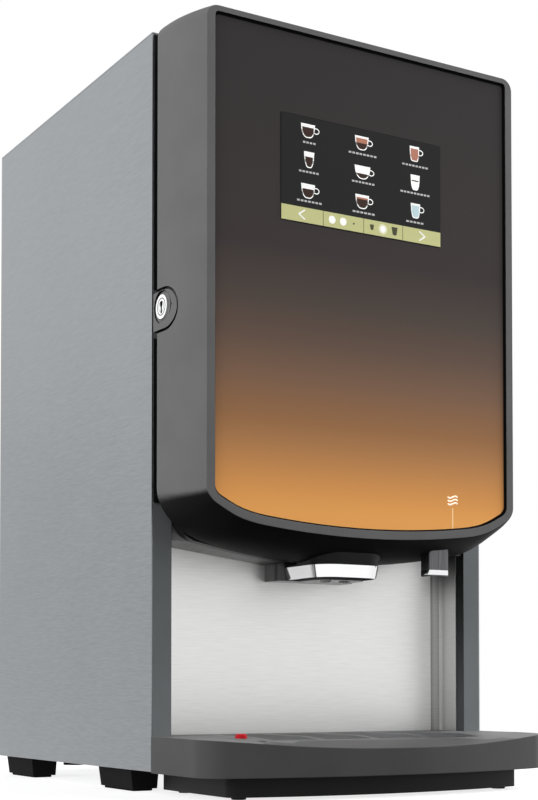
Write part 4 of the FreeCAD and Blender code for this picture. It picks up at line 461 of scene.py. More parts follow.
# %% Softened copies of the outer parts
def softened(node, radius, merge=0.002, split=False):
    """Copy a node, merge its triangles, round its sharp edges; the copy replaces the node.

    A large flat face with holes is split into triangles again, because rounding would fold it over."""
    source = frame["nodes"][node]
    pick(source)
    bpy.ops.object.duplicate()
    piece = bpy.context.active_object
    piece.name = node + "_soft"
    body = piece["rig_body"]
    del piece["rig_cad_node"]
    bpy.ops.mesh.customdata_custom_splitnormals_clear()
    mode("EDIT")
    select_everything()
    bpy.ops.mesh.remove_doubles(threshold=merge * MM)
    bpy.ops.mesh.dissolve_limited(angle_limit=math.radians(0.1))
    if split:
        select_everything()
        bpy.ops.mesh.quads_convert_to_tris(quad_method="BEAUTY", ngon_method="BEAUTY")
    mode("OBJECT")
    bpy.ops.object.shade_smooth()
    rounding = piece.modifiers.new("rounding", "BEVEL")
    rounding.width = radius
    rounding.segments = 2
    rounding.limit_method = "ANGLE"
    rounding.angle_limit = math.radians(30)
    rounding.use_clamp_overlap = False
    rounding.harden_normals = True
    bpy.ops.object.modifier_apply(modifier="rounding")
    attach(piece, body)
    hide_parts(node)
    return piece


SOFT_EDGES = [
    ("door_shell", 0.5, "door_grey"), ("door_liner", 0.3, "liner_plastic"), ("tray_rim", 0.5, "tray_plastic"),
    ("left_column", 0.4, "column_grey"), ("right_column", 0.4, "column_grey"),
    ("left_side_panel", 0.3, "steel_side"), ("right_side_panel", 0.3, "steel_side"),
    ("top_cover", 0.3, "steel_side"), ("feet", 0.4, "rubber"), ("outlet_cowl", 0.3, "black_plastic"),
    ("splash_panel", 0.3, "steel_bright"), ("lock_housing", 0.4, "door_grey"), ("drip_grid", 0.3, "grid_steel"),
    ("front_window", 0.15, "window"),
]
soft = {}
for node, radius, slot in SOFT_EDGES:
    soft[node] = softened(node, radius * MM, split=node == "tray_rim")
    print(node, "softened:", len(soft[node].data.polygons), "faces")
soft["drip_basin"] = softened("drip_basin", 0.4 * MM, merge=0.32)
print("drip_basin softened:", len(soft["drip_basin"].data.polygons), "faces")

# %% [markdown]
# ## Working on chosen faces
# Edit mode works on what is selected. By hand that is a click; in a script the faces or points are chosen by where
# they are and which way they face. Two short helpers do that: one opens a piece with only the chosen points
# selected, the other paints chosen faces with a second finish.

# %% Choose by place
def open_with_points(piece, chosen, hidden=None):
    """Edit mode with only the chosen points selected; points that hidden names stay out of every operation."""
    pick(piece)
    mode("EDIT")
    bpy.ops.mesh.reveal(select=False)
    bpy.ops.mesh.select_mode(type="VERT")
    bpy.ops.mesh.select_all(action="DESELECT")
    mode("OBJECT")
    points = piece.data.vertices
    if hidden:
        for point in points:
            point.select = hidden(point.co)
        mode("EDIT")
        bpy.ops.mesh.hide(unselected=False)
        mode("OBJECT")
    for point in points:
        point.select = not point.hide and chosen(point.co)
    count = sum(point.select for point in points)
    mode("EDIT")
    return count


def close_edit():
    """Show hidden points again and go back to object mode."""
    bpy.ops.mesh.reveal(select=False)
    mode("OBJECT")


def paint_faces(piece, finish, chosen):
    """Give the faces chosen by centre and normal another finish."""
    data = piece.data
    data.materials.append(finish)
    index = len(data.materials) - 1
    count = 0
    for face in data.polygons:
        if chosen(face.center, face.normal):
            face.material_index = index
            count += 1
    return count


# %% [markdown]
# ## The door's lower corners and its recess
# Below, the real door turns into its underside in a wide round, wider still at the back. The corners are lifted
# with proportional editing: one point is moved and its neighbours follow less and less with distance. Shell, liner
# and window take the same lift, so that they still fit together. The knuckles of the hinge are hidden meanwhile,
# because they must stay on their axis. The recess of the window also goes up by about two millimetres.

# %% Lift the lower corners and the recess
def at_knuckle(co):
    """Near the lower hinge knuckle, on the right behind the skin of the door."""
    return 0.118 < co.x < 0.1562 and co.y > -0.128 and co.z > 0.2275


def move_softly(piece, place, lift, reach):
    """Move the point nearest to place up or down, with its neighbours, on both sides of the door."""
    for side in (-1, 1):
        spot = Vector((side * place[0], place[1], place[2]))
        nearest = min(piece.data.vertices, key=lambda point: (point.co - spot).length).co.copy()
        open_with_points(piece, lambda co: (co - nearest).length < 0.01 * MM, hidden=at_knuckle)
        bpy.ops.transform.translate(value=(0, 0, lift), use_proportional_edit=True,
                                    proportional_edit_falloff="SMOOTH", proportional_size=reach)
        close_edit()


door = soft["door_shell"]
open_with_points(door, lambda co: co.z > CAD_HIGH.z + 0.05 * MM)
scale((1, 1, 0), (0, 0, CAD_HIGH.z))
close_edit()
for part in (door, soft["door_liner"]):
    move_softly(part, (0.157, -0.116, 0.207), 3.5 * MM, 45 * MM)
    move_softly(part, (0.152, -0.148, 0.210), 5 * MM, 38 * MM)
for part in (door, soft["door_liner"], soft["front_window"]):
    move_softly(part, (0.1405, -0.1705, 0.218), 1.5 * MM, 30 * MM)


def in_recess(co):
    """A point of the opening's rim round the window."""
    return WINDOW_Y - 2.6 * MM < co.y < WINDOW_Y + 0.2 * MM and abs(co.x) < 0.1395 and (
        0.585 < co.z < 0.5898 or co.z < 0.25)


rim_points = open_with_points(door, lambda co: in_recess(co) and co.z > 0.5)
bpy.ops.transform.translate(value=(0, 0, 2.2 * MM))
close_edit()
print("recess rim points lifted above:", rim_points)


# %% Painted shade in the recess, round the lock and in the cup bay, and the spout's steel
def faces_inward(center, normal):
    """A wall of the recess: it looks at the middle of the window."""
    middle = Vector((0, center.y, 0.4))
    return (WINDOW_Y - 2.4 * MM < center.y < WINDOW_Y + 3 * MM and abs(normal.y) < 0.5
            and normal.dot(middle - center) > 0 and abs(center.x) < 0.1405)


# The walls of the window's recess are painted black: painted shade of the recess.
print("recess walls painted:", paint_faces(door, GAP_BLACK, faces_inward))


def at_corner_bend(center, normal):
    """Rounded corner of the splash panel."""
    return 0.131 < abs(center.x) < 0.1398 and normal.x * center.x < 0 and center.y > -0.09


def at_return(center, normal):
    """Side of the splash panel that runs forward to the column."""
    return abs(center.x) > 0.1398 and normal.x * center.x < 0


def at_spout(center, normal):
    """Upright wall of the hot water spout."""
    return center.x > 0.068 and abs(normal.z) < 0.5


def at_inner_side(center, normal):
    """Side of a column that looks into the cup bay."""
    return abs(center.x) < 0.1435 and normal.x * center.x < 0


# The bay's corners and returns take the darker steels: painted shade.
print("bends", paint_faces(soft["splash_panel"], BEND_SHADE_STEEL, at_corner_bend))
print("returns", paint_faces(soft["splash_panel"], RETURN_SHADE_STEEL, at_return))
print("spout", paint_faces(soft["outlet_cowl"], SPOUT_STEEL, at_spout))
# The columns' inner sides take the darker grey: painted shade.
for column in ("left_column", "right_column"):
    print(column, "inner side", paint_faces(soft[column], COLUMN_SHADE, at_inner_side))

# %% Tray deck
# The flat upper face of the tray is painted lighter than its sides and its scoop, as painted light that falls on it
# from above.
DECK_LOW = 0.0422
print("deck painted:", paint_faces(
    soft["tray_rim"], DECK_PAINTED_LIGHT, lambda center, normal: normal.z > 0.7 and center.z > DECK_LOW))

# %% [markdown]
# ## The window's black seal
# A black rubber lip closes the joint between frame and window; its black also stands for the shade in that joint, as
# painted shade. It is drawn out of the frame itself: a copy of the door keeps only the walls of the recess, the
# points of their deepest edge are extruded, and the new points are pulled a good millimetre towards the middle and
# down onto the acrylic. The walls are then deleted.

# %% Window seal
pick(door)
bpy.ops.object.duplicate()
lip = bpy.context.active_object
lip.name = "window_seal"
open_with_points(lip, lambda co: False)
bpy.ops.mesh.select_mode(type="FACE")
mode("OBJECT")
for face in lip.data.polygons:
    face.select = face.material_index == 0
mode("EDIT")
bpy.ops.mesh.delete(type="FACE")
mode("OBJECT")
rim = open_with_points(lip, lambda co: abs(co.y - WINDOW_Y + 0.5 * MM) < 0.06 * MM)
bpy.ops.mesh.select_mode(type="EDGE")
bpy.ops.mesh.extrude_edges_move(TRANSFORM_OT_translate={"value": (0, 0.44 * MM, 0)})
scale((0.9905, 1, 0.9932), (0, WINDOW_Y, 0.398))
mode("OBJECT")
lip_faces = {face.index for face in lip.data.polygons if face.normal.y * face.normal.y > 0.25
             and face.center.y > WINDOW_Y - 0.4 * MM}
for face in lip.data.polygons:
    face.select = face.index not in lip_faces
mode("EDIT")
bpy.ops.mesh.select_mode(type="FACE")
bpy.ops.mesh.delete(type="FACE")
mode("OBJECT")
lip.data.materials.clear()
lip.data.materials.append(GAP_BLACK)
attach(lip, "door")
print("seal rim points:", rim, "faces:", len(lip.data.polygons))

# %% [markdown]
# ## The lock housing's gap
# The housing is a D that stands in a cut-out of the door, with a dark gap all round. The CAD's gap is narrow, so
# the copy is drawn in a little towards its own middle, and the gap shows as wide as on the real one.

# %% Wider gap round the lock housing
LOCK_SPOT = Vector((-0.15988, -0.1225, 0.3748))
housing = soft["lock_housing"]
open_with_points(housing, lambda co: True)
scale((1, 0.93, 0.93), (-0.15, -0.127, 0.3723))
close_edit()
# The wall of the round recess for the lock's head is painted black: painted shade of the recess.
print("recess of the lock painted:", paint_faces(
    housing, GAP_BLACK, lambda center, normal: -0.1596 < center.x < -0.157 and abs(normal.x) < 0.3
    and (center - LOCK_SPOT).yz.length < 0.0136))

# %% [markdown]
# ## Bars and strips
# Seals, lips and strips start as a cube that is drawn to its size in edit mode, and every edge is rounded. Each one
# rides on the body that carries it.

# %% A rounded bar
def rounded_bar(name, low, high, finish, body, radius):
    """Bar between two corners in millimetres, with rounded edges."""
    middle = [(a + b) / 2 * MM for a, b in zip(low, high)]
    bar = drawn(bpy.ops.mesh.primitive_cube_add, [(b - a) * MM for a, b in zip(low, high)], middle)
    bar.name = name
    bpy.ops.mesh.bevel(offset=radius * MM, segments=3, affect="EDGES")
    mode("OBJECT")
    smooth_below(40)
    bar.data.materials.append(finish)
    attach(bar, body)
    return bar


SEALS = [
    ("left_seal_low", (-158.6, -107.5, 226), (-150, -106.3, 353.5)),
    ("left_seal_high", (-158.6, -107.5, 391.5), (-150, -106.3, 592)),
    ("right_seal", (156.2, -107.5, 230), (158.6, -106.3, 592)),
]
for name, low, high in SEALS:
    seal = rounded_bar(name, low, high, RUBBER, "chassis", 0.35)
    print(name, "faces:", len(seal.data.polygons))

# %% [markdown]
# ## The roof of the cup bay
# Behind the door's lower edge the cabinet carries on with a curved black cheek on each side of the outlets, so that
# nobody looks into the works from below. In front it has the door's outline. A cheek is a grid whose points follow
# that curve, drawn upwards for its thickness. A dark grey strip of steel closes it towards the splash panel; it
# passes under the mounting wall, and a narrow fold in front of the wall joins it to the cheek. Strip and fold are
# painted shade: they have the colour of the bay steel in the door's shadow, and the strip's back edge follows the
# edge of that shadow on the splash panel.

# %% Roof cheeks
ARCH_LOW, ARCH_RADIUS = 183.1, 560
CORNER_X, CORNER_Z = 118, 195.7
ROOF_FRONT, FOLD_FRONT, FOLD_BACK, ROOF_BACK = -113.5, -104.4, -103.8, -72.6


def door_edge(x):
    """Height of the door's lower edge at its back, in millimetres: an arch, then a rising corner."""
    x = abs(x)
    if x < CORNER_X:
        return ARCH_LOW + ARCH_RADIUS - math.sqrt(ARCH_RADIUS ** 2 - x ** 2)
    return CORNER_Z + (x - CORNER_X) * 0.1 + (x - CORNER_X) ** 3 * 0.00095


def under_wall(x):
    """Height of the roof under the mounting wall, whose lower face is at 198 mm."""
    return min(door_edge(x), 197.7)


# The strip's back edge follows the edge of the door's shadow on the splash panel: painted shade.
def splash_edge(x):
    """Height at which the roof meets the splash panel."""
    return 179.5 + abs(x) * 0.125


def roof_cheek(name, ends, front, back, heights, finish):
    """Curved plate between two x and two y values in millimetres; heights are functions for front and back."""
    middle = (sum(ends) / 2 * MM, (front + back) / 2 * MM, 0)
    cheek = drawn(bpy.ops.mesh.primitive_grid_add, ((ends[1] - ends[0]) * MM, (back - front) * MM, 1), middle,
                  x_subdivisions=14, y_subdivisions=1)
    cheek.name = name
    mode("OBJECT")
    for spot in [point.co.copy() for point in cheek.data.vertices]:
        height = heights[0 if spot.y < middle[1] else 1]
        open_with_points(cheek, lambda co: (co - spot).length < 0.01 * MM)
        bpy.ops.transform.translate(value=(0, 0, height(spot.x / MM) * MM))
        mode("OBJECT")
    open_with_points(cheek, lambda co: True)
    bpy.ops.mesh.extrude_region_move(TRANSFORM_OT_translate={"value": (0, 0, 1.5 * MM)})
    select_everything()
    bpy.ops.mesh.normals_make_consistent(inside=False)
    close_edit()
    smooth_below(40)
    cheek.data.materials.append(finish)
    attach(cheek, "chassis")
    return cheek


# The roof's strip and fold have the colour of the bay steel in the door's shadow: painted shade.
STRIP_SHADE_STEEL = brushed_steel("lip_steel_painted_shade", "#5e5e5e", "#525252", "Z", roughness=0.45)
for name, ends in (("left_roof", (-141.5, -40)), ("right_roof", (96, 141.5))):
    cheek = roof_cheek(name, ends, ROOF_FRONT, FOLD_FRONT, (door_edge, door_edge), COWL_BLACK)
    roof_cheek(name + "_fold", ends, FOLD_FRONT, FOLD_BACK, (door_edge, under_wall), STRIP_SHADE_STEEL)
    strip = roof_cheek(name + "_strip", ends, FOLD_BACK, ROOF_BACK, (under_wall, splash_edge), STRIP_SHADE_STEEL)
    print(name, [round(v * 1000) for v in cheek.dimensions], "mm, strip faces", len(strip.data.polygons))

# %% [markdown]
# ## Prints on the display
# The screen shows a menu: nine drinks with their cups, and a green bar with arrows and size marks. A print is made
# as a thin flat plate a few hundredths of a millimetre in front of the glass. Plates start as a plane that stands
# upright; their lower edge is narrowed for a cup and its corners are rounded. Positions are in millimetres from the
# lower left corner of the lit area. Lit colours shine a little by themselves.

# %% Print colours
def lit_print(name, colour, strength=0.3):
    """Colour of the lit screen: part pigment, part own light."""
    material, tree, place = new_material(name)
    dots = noise(tree, place, 1.0 / (0.4 * MM), 0.0)
    close_material(tree, {
        "Base Color": linear(colour), "Roughness": map_range(tree, dots, 0.0, 1.0, 0.3, 0.4),
        "Specular IOR Level": 0.1, "Emission Color": linear(colour), "Emission Strength": strength})
    return material


WHITE_INK = lit_print("screen_white", "#f4f4f2", 0.4)
GREY_INK = lit_print("screen_grey", "#b9b9b9")
GREEN_INK = lit_print("screen_green", "#c0c08a")
GREEN_PALE = lit_print("screen_pale_green", "#d9d9b4")
DARK_INK = lit_print("screen_dark", "#4b4b38")
COFFEE_INK = lit_print("screen_coffee", "#3a2b26")
TAN_INK = lit_print("screen_tan", "#b07a66")
WATER_INK = lit_print("screen_water", "#bcd3d8")
SCREEN_X = DISPLAY_CORNER.x + 5 * MM
SCREEN_Z = DISPLAY_CORNER.z + 5 * MM
SCREEN_WIDTH = 152
prints = []
print("screen corner", round(SCREEN_X, 4), round(SCREEN_Z, 4))


# %% Plates and rings
def on_screen(x, z, layer):
    """Point on the screen from millimetres, a few hundredths in front of the glass."""
    return Vector((SCREEN_X + x * MM, GLASS_Y - (0.02 + 0.02 * layer) * MM, SCREEN_Z + z * MM))


def print_plate(x, z, width, height, finish, layer, foot=1.0, corner=0.0, turn=0.0, belly=None):
    """Upright plate round its middle; foot and belly narrow its lower edge and its middle, corner rounds them."""
    place = on_screen(x, z, layer)
    plate = drawn(bpy.ops.mesh.primitive_plane_add, (width * MM, 1, height * MM), place,
                  rotation=(math.radians(90), 0, 0))
    waist = place.z - 0.12 * height * MM
    if belly:
        select_everything()
        bpy.ops.mesh.bisect(plane_co=(0, 0, waist), plane_no=(0, 0, 1))
    mode("OBJECT")
    if belly:
        open_with_points(plate, lambda co: abs(co.z - waist) < 0.01 * MM)
        scale((belly, 1, 1), place)
        close_edit()
    open_with_points(plate, lambda co: co.z < waist - 0.1 * height * MM)
    scale((foot, 1, 1), place)
    if belly:
        close_edit()
        open_with_points(plate, lambda co: co.z < waist + 0.01 * MM)
    if corner:
        bpy.ops.mesh.bevel(offset=corner * MM, segments=5, affect="VERTICES")
    select_everything()
    if turn:
        bpy.ops.transform.rotate(value=math.radians(turn), orient_axis="Y", center_override=place)
    close_edit()
    plate.data.materials.append(finish)
    prints.append(plate)
    return plate


def thin_disc(place, radius, finish, vertices, rotation, line=0.0, squeeze=1.0):
    """Flat disc; with a line width only its rim stays, and squeeze makes it narrow or wide."""
    bpy.ops.object.select_all(action="DESELECT")
    bpy.ops.mesh.primitive_circle_add(vertices=vertices, radius=radius * MM, fill_type="NGON", location=place,
                                      rotation=rotation)
    disc = bpy.context.active_object
    settle()
    mode("EDIT")
    select_everything()
    scale((squeeze, 1, 1), place)
    if line:
        bpy.ops.mesh.inset(thickness=line * MM)
        bpy.ops.mesh.delete(type="FACE")
    mode("OBJECT")
    disc.data.materials.append(finish)
    return disc


def print_ring(x, z, radius, finish, layer, line=0.0, squeeze=1.0):
    """Upright disc or ring on the screen."""
    prints.append(thin_disc(on_screen(x, z, layer), radius, finish, 28, (math.radians(90), 0, 0), line, squeeze))


# %% A cup with its drink
def print_cup(x, top, low, width, foot, belly, levels, handle, corner):
    """White cup; its inside is split at the levels and filled from below with the given inks, white above them."""
    cup = print_plate(x, (top + low) / 2, width, top - low, WHITE_INK, layer=3, foot=foot, belly=belly,
                      corner=corner)
    open_with_points(cup, lambda co: True)
    bpy.ops.mesh.inset(thickness=0.85 * MM)
    mode("OBJECT")
    for ink in [ink for _, ink in levels] + [WHITE_INK]:
        cup.data.materials.append(ink)
    for face in cup.data.polygons:
        face.material_index = 1 if face.select else 0
    for level, _ in levels:
        for item in list(cup.data.vertices) + list(cup.data.edges):
            item.select = False
        for face in cup.data.polygons:
            face.select = face.material_index == 1
        mode("EDIT")
        bpy.ops.mesh.select_mode(type="FACE")
        bpy.ops.mesh.bisect(plane_co=(0, 0, SCREEN_Z + level * MM), plane_no=(0, 0, 1))
        mode("OBJECT")
    tops = [SCREEN_Z + level * MM for level, _ in levels]
    for face in cup.data.polygons:
        if face.material_index == 1:
            face.material_index = 1 + sum(face.center.z > height for height in tops)
    if handle:
        print_ring(x + width / 2 + handle, top - 4.5, 2.5, WHITE_INK, layer=2, line=0.8, squeeze=1.25)


# %% The menu
# A cup has its middle, top, low, width, foot, belly, inks up to their levels, handle and corner.
CUPS = [
    (24.2, 78.0, 67.0, 12.9, 0.5, 0.9, [(75.4, COFFEE_INK)], 1.0, 2.0),
    (25.2, 56.3, 43.6, 9.5, 0.5, 0.86, [(52.3, COFFEE_INK)], None, 1.5),
    (24.2, 30.9, 19.5, 12.7, 0.5, 0.9, [(27.0, COFFEE_INK)], 1.0, 2.0),
    (74.6, 77.7, 66.5, 13.1, 0.5, 0.9, [(72.2, COFFEE_INK), (76.0, TAN_INK)], 0.9, 2.0),
    (75.2, 54.0, 43.3, 15.2, 0.42, 0.86, [(47.8, COFFEE_INK)], 0.6, 2.2),
    (74.9, 30.8, 19.5, 13.1, 0.5, 0.9, [(27.2, COFFEE_INK), (28.6, TAN_INK)], 0.9, 2.0),
    (126.1, 78.9, 66.5, 9.4, 0.7, 0.95, [(77.0, TAN_INK)], 0.9, 1.5),
    (126.7, 55.6, 43.0, 9.2, 0.55, 0.88, [(50.2, WHITE_INK), (51.2, COFFEE_INK)], None, 1.5),
    (127.0, 32.2, 20.1, 9.5, 0.6, 0.9, [(30.6, WATER_INK)], 0.9, 1.5),
]
CAPTIONS = [(19.1, 31.6, 63.4), (15.5, 34.4, 40.3), (13.7, 37.2, 17.2), (61.7, 89.1, 63.3), (64.8, 87.1, 40.7),
            (65.3, 87.2, 16.6), (113.5, 139.9, 63.0), (111.7, 141.5, 40.5), (117.3, 135.3, 16.8)]
for cup in CUPS:
    print_cup(*cup)
for start, end, z in CAPTIONS:
    count = max(3, round((end - start) / 3.4))
    pitch = (end - start) / count
    for i in range(count):
        print_plate(start + (i + 0.5) * pitch, z, pitch - 0.9, 1.5, GREY_INK, layer=2)
print("plates for the menu:", len(prints))

# %% The green bar
print_plate(SCREEN_WIDTH / 2, 6.2, SCREEN_WIDTH, 11.8, GREEN_INK, layer=1)
for x in (38.2, 76.3, 114.2):
    print_plate(x, 6.2, 0.45, 11.8, DARK_INK, layer=2)
for tip, end in ((15.7, 21.3), (136.4, 131.0)):
    lean = 34 if tip < end else -34
    print_plate((tip + end) / 2, 8.1, 6.9, 1.0, WHITE_INK, layer=3, turn=lean)
    print_plate((tip + end) / 2, 4.5, 6.9, 1.0, WHITE_INK, layer=3, turn=-lean)
for x in (46.5, 56.8):
    print_ring(x, 6.5, 3.1, WHITE_INK, layer=3)
print_ring(66.8, 6.4, 0.8, DARK_INK, layer=3)
for x, height in ((84.2, 4.4), (106.2, 6.6)):
    print_plate(x, 6.3, height * 0.9, height, DARK_INK, layer=3, foot=0.6, corner=height * 0.18)
print_ring(94.8, 6.3, 4.3, GREEN_PALE, layer=2)
print_ring(94.8, 6.3, 2.7, WHITE_INK, layer=3)

bpy.ops.object.select_all(action="DESELECT")
for plate in prints:
    plate.select_set(True)
bpy.context.view_layer.objects.active = prints[0]
bpy.ops.object.join()
menu = bpy.context.active_object
menu.name = "display_menu"
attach(menu, "door")
print("menu faces:", len(menu.data.polygons), "inks:", len(menu.data.materials))

# %% [markdown]
# ## Steam mark on the window
# Low on the window a small white steam sign marks the hot water outlet, with a thin line that points down to it.
# One wave is a Bezier curve with a round bevel. It becomes a mesh, is pressed flat and is copied twice.

# %% Steam sign
MARK_X, MARK_Z = 84.0, 236.0
# The steam sign is print on the window, yet it glows a little like the screen's colours: painted light.
MARK_INK = lit_print("window_mark_white", "#fff3df", 0.5)
LINE_INK = lit_print("window_mark_line", "#f6d9a8", 0.4)
waves = []
bpy.ops.object.select_all(action="DESELECT")
bpy.ops.curve.primitive_bezier_curve_add()
wave = bpy.context.active_object
left, right = wave.data.splines[0].bezier_points
for point, x, lean in ((left, -5.0, -3.2), (right, 5.0, 3.2)):
    point.handle_left_type = point.handle_right_type = "FREE"
    point.co = (x * MM, 0, 0)
    inward = (x * 0.32 * MM, lean * MM, 0)
    outward = (x * 1.4 * MM, 0, 0)
    point.handle_right = inward if point is left else outward
    point.handle_left = outward if point is left else inward
wave.data.bevel_depth = 0.62 * MM
wave.data.bevel_resolution = 2
wave.data.use_fill_caps = True
wave.rotation_euler = (math.radians(90), 0, 0)
bpy.ops.object.convert(target="MESH")
settle()
mode("EDIT")
select_everything()
scale((1, 0.1, 1), (0, 0, 0))
bpy.ops.transform.translate(value=(MARK_X * MM, WINDOW_Y - 0.04 * MM, (MARK_Z - 2.7) * MM))
mode("OBJECT")
wave.data.materials.clear()
wave.data.materials.append(MARK_INK)
waves.append(wave)
for i in (1, 2):
    bpy.ops.object.duplicate()
    copy = bpy.context.active_object
    mode("EDIT")
    select_everything()
    bpy.ops.transform.translate(value=(0, 0, 2.75 * MM))
    mode("OBJECT")
    waves.append(copy)
pointer = rounded_bar("steam_line", (MARK_X - 0.35, -168.08, 210.8), (MARK_X + 0.35, -167.9, 229.6), LINE_INK,
                      "door", 0.05)
for i, piece in enumerate(waves):
    piece.name = "steam_wave_" + str(i + 1)
    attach(piece, "door")
print("steam waves:", len(waves), "line", [round(v * 1000, 1) for v in pointer.dimensions])

# %% [markdown]
# ## Face of the lock
# The plug's flat face has a turned groove and a keyhole. Both are thin dark plates that face left and turn with the
# plug; their dark is painted shade of the groove and the hole.

# %% Lock face
lock_parts = []
for radius, line, finish in ((6.9, 0.8, MOTOR_GREY), (4.3, 0.35, MOTOR_GREY), (2.0, 0.0, GAP_BLACK)):
    spot = LOCK_SPOT + Vector((0, 0, 0 if line else 1.6 * MM))
    lock_parts.append(thin_disc(spot, radius, finish, 36, (0, math.radians(-90), 0), line))
rounded_bar("keyhole_slit", (-159.92, -123.5, 369.6), (-159.8, -121.5, 377), GAP_BLACK, "lock", 0.05)
for i, piece in enumerate(lock_parts):
    piece.name = "lock_face_" + str(i + 1)
    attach(piece, "lock")
print("lock face plates:", len(lock_parts) + 1)

# %% [markdown]
# ## Screws of the back and the top
# The back panel and the top cover are held by round head screws with a cross recess. One screw is a cylinder whose
# rim is rounded over, and its cross is two black plates laid on the head. It is modelled once and copied with its own
# mesh.

# %% One screw
def cross_screw():
    """Round screw head round the origin, facing up, 6.4 mm wide and 1.4 mm high."""
    bpy.ops.object.select_all(action="DESELECT")
    bpy.ops.mesh.primitive_cylinder_add(vertices=24, radius=3.2 * MM, depth=1.4 * MM, location=(0, 0, 0.7 * MM))
    head = bpy.context.active_object
    settle()
    open_with_points(head, lambda co: co.z > 1.3 * MM)
    bpy.ops.mesh.select_mode(type="FACE")
    bpy.ops.mesh.bevel(offset=0.8 * MM, segments=4, affect="EDGES")
    close_edit()
    smooth_below(40)
    head.data.materials.append(PART_STEEL)
    # The cross is two black plates laid on the head: painted shade of a cross recess.
    for width, depth in ((0.8, 3.6), (3.6, 0.8)):
        slot = drawn(bpy.ops.mesh.primitive_plane_add, (width * MM, depth * MM, 1), (0, 0, 1.42 * MM))
        mode("OBJECT")
        slot.data.materials.append(GAP_BLACK)
        head.select_set(True)
        bpy.context.view_layer.objects.active = head
        bpy.ops.object.join()
    return bpy.context.active_object


# %% Screws in their places
BACK_SCREWS = [(x, 220.0, z) for x in (-150, 150) for z in (42, 225, 400, 575)] + [(0, 220.0, 575), (0, 220.0, 30)]
TOP_SCREWS = [(x, y, 594.2) for x in (-146, 146) for y in (-80, 206)]
pattern = cross_screw()
made = []
for turned, spots in ((True, BACK_SCREWS), (False, TOP_SCREWS)):
    for spot in spots:
        pick(pattern)
        bpy.ops.object.duplicate()
        screw = bpy.context.active_object
        screw.name = "cover_screw_" + str(len(made) + 1)
        screw.rotation_euler = (math.radians(-90), 0, 0) if turned else (0, 0, 0)
        screw.location = [v * MM for v in spot]
        settle()
        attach(screw, "chassis")
        made.append(screw)
bpy.data.objects.remove(pattern)
print("screws:", len(made))

# %% [markdown]
# ## Powder in the canisters
# Through the clear canisters shows what is in them: instant coffee on the left, milk powder on the right. A grid
# is drawn down into a block that fits inside the walls. Its top points are scattered and smoothed to a loose
# surface. Both powders are grains; the coffee's are about a millimetre, which the material's bump shows.

# %% Powders
def loose_powder(name, colour, shade, grain):
    """Grains with a rough broken surface."""
    material, tree, place = new_material(name)
    grains = add_node(tree, "TexVoronoi", {"Vector": place, "Scale": 1.0 / grain}).outputs["Distance"]
    close_material(tree, {
        "Base Color": ramp(tree, grains, [(0.1, colour), (0.7, shade)]), "Roughness": 0.8,
        "Specular IOR Level": 0.15, "Normal": bumps(tree, grains, 0.8, 0.5 * grain)})
    return material


COFFEE = loose_powder("instant_coffee_grains", "#5b3319", "#2c170b", 1.2 * MM)
MILK = loose_powder("milk_powder", "#f1e8d2", "#ddd0b2", 0.6 * MM)


POWDER_LOW = 440


def fill_canister(name, node, finish, height):
    """Powder inside a canister, from POWDER_LOW up to a height in millimetres."""
    low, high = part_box(node)
    middle = Vector(((low.x + high.x) / 2, (low.y + high.y) / 2, height * MM))
    size = (high.x - low.x - 9 * MM, high.y - low.y - 9 * MM, 1)
    powder = drawn(bpy.ops.mesh.primitive_grid_add, size, middle, x_subdivisions=22, y_subdivisions=30)
    powder.name = name
    select_everything()
    bpy.ops.mesh.extrude_region_move(TRANSFORM_OT_translate={"value": (0, 0, (POWDER_LOW - height) * MM)})
    mode("OBJECT")
    half = [v / 2 - 2 * MM for v in size[:2]]
    open_with_points(powder, lambda co: co.z > middle.z - 1 * MM and abs(co.x - middle.x) < half[0]
                     and abs(co.y - middle.y) < half[1])
    bpy.ops.transform.vertex_random(offset=3.5 * MM, uniform=1.0, normal=0.0, seed=7)
    bpy.ops.mesh.vertices_smooth(factor=0.5, repeat=3)
    select_everything()
    bpy.ops.mesh.normals_make_consistent(inside=False)
    close_edit()
    smooth_below(60)
    powder.data.materials.append(finish)
    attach(powder, "chassis")
    return powder


for name, node, finish, height in (("coffee_powder", "left_canister", COFFEE, 520),
                                   ("milk_powder", "right_canister", MILK, 500)):
    powder = fill_canister(name, node, finish, height)
    print(name, "faces:", len(powder.data.polygons))

# %% [markdown]
# ## A plain studio
# A pale floor and a white surround. To the camera and in reflections they are white, while for soft light they
# count as much darker, which keeps the underside of the door dark as in a studio with a low ceiling of light.

# %% Floor and world
def white_rays(tree):
    """1 for camera, glossy and transmission rays, 0 for the soft light."""
    path = add_node(tree, "LightPath")
    first = add_node(tree, "Math", {0: path.outputs["Is Camera Ray"], 1: path.outputs["Is Glossy Ray"]},
                     operation="MAXIMUM")
    return add_node(tree, "Math", {0: first.outputs["Value"], 1: path.outputs["Is Transmission Ray"]},
                    operation="MAXIMUM").outputs["Value"]


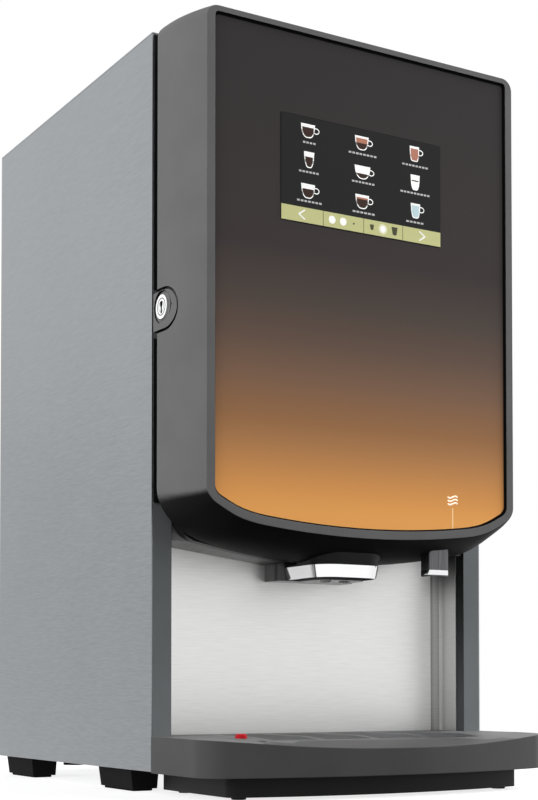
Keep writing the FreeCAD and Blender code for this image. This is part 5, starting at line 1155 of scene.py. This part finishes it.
def staged_floor():
    """Pale floor: white to the eye, with the object's shadow near it, and a weak bouncer."""
    bpy.ops.mesh.primitive_plane_add(size=12.0, location=(0, 0, -0.0002))
    floor = bpy.context.active_object
    floor.name = "floor"
    material, tree, place = new_material("pale_floor")
    paper = add_node(tree, "BsdfDiffuse", {"Color": linear("#e8e8e8")})
    glow = add_node(tree, "Emission", {"Color": linear("#ffffff"), "Strength": 1.5})
    near = add_node(tree, "MixShader", {"Fac": 0.52, 1: paper.outputs["BSDF"], 2: glow.outputs["Emission"]})
    far = add_node(tree, "Emission", {"Color": linear("#ffffff"), "Strength": 1.0})
    distance = add_node(tree, "VectorMath", {0: place}, operation="LENGTH").outputs["Value"]
    reach = map_range(tree, distance, 0.35, 1.1, smooth=True)
    shown = add_node(tree, "MixShader", {"Fac": reach, 1: near.outputs["Shader"], 2: far.outputs["Emission"]})
    bouncer = add_node(tree, "BsdfDiffuse", {"Color": linear("#202020")})
    mixed = add_node(tree, "MixShader", {"Fac": white_rays(tree), 1: bouncer.outputs["BSDF"],
                                         2: shown.outputs["Shader"]})
    add_node(tree, "OutputMaterial", {"Surface": mixed.outputs["Shader"]})
    floor.data.materials.append(material)
    floor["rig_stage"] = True


def studio_world(low, high):
    """White to the camera and to reflections; for the soft light it grows from the horizon to the ceiling."""
    world = bpy.data.worlds.new("studio")
    bpy.context.scene.world = world
    world.use_nodes = True
    tree = world.node_tree
    tree.nodes.clear()
    upwards = along_z(tree, add_node(tree, "TexCoord").outputs["Generated"])
    power = map_range(tree, upwards, 0.0, 1.0, low, high)
    dim = add_node(tree, "Background", {"Color": linear("#ffffff"), "Strength": power})
    white = add_node(tree, "Background", {"Color": linear("#ffffff"), "Strength": 1.0})
    mixed = add_node(tree, "MixShader", {"Fac": white_rays(tree), 1: dim.outputs["Background"],
                                         2: white.outputs["Background"]})
    add_node(tree, "OutputWorld", {"Surface": mixed.outputs["Shader"]})


MIDDLE = Vector((0, 0, 0.3))


def softbox(name, place, size, power, mirrored=False):
    """Square area lamp that faces the machine's middle; only a mirrored one shows in reflections."""
    data = bpy.data.lights.new(name, "AREA")
    data.size = size
    data.energy = power
    lamp = bpy.data.objects.new(name, data)
    lamp.location = place
    lamp.rotation_euler = (MIDDLE - Vector(place)).to_track_quat("-Z", "Y").to_euler()
    lamp.visible_glossy = mirrored
    bpy.context.scene.collection.objects.link(lamp)


bpy.ops.object.select_all(action="DESELECT")
staged_floor()
studio_world(0.02, 0.08)
softbox("left_high", (-1.9, -0.9, 1.9), 1.2, 24)
softbox("left_low", (-2.4, -0.4, 0.6), 1.2, 38)
softbox("right_high", (1.7, -0.5, 2.2), 1.0, 32)
softbox("right_middle", (1.9, -0.7, 1.3), 1.2, 42)
softbox("right_low", (1.8, -1.7, 0.6), 1.2, 20)
softbox("back", (0.8, 2.4, 1.2), 1.6, 24)
softbox("sheen", (-1.6, 2.6, 1.6), 1.6, 2, mirrored=True)
bpy.context.scene.view_settings.view_transform = "Standard"

# %% Sizes and the end
low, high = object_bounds()
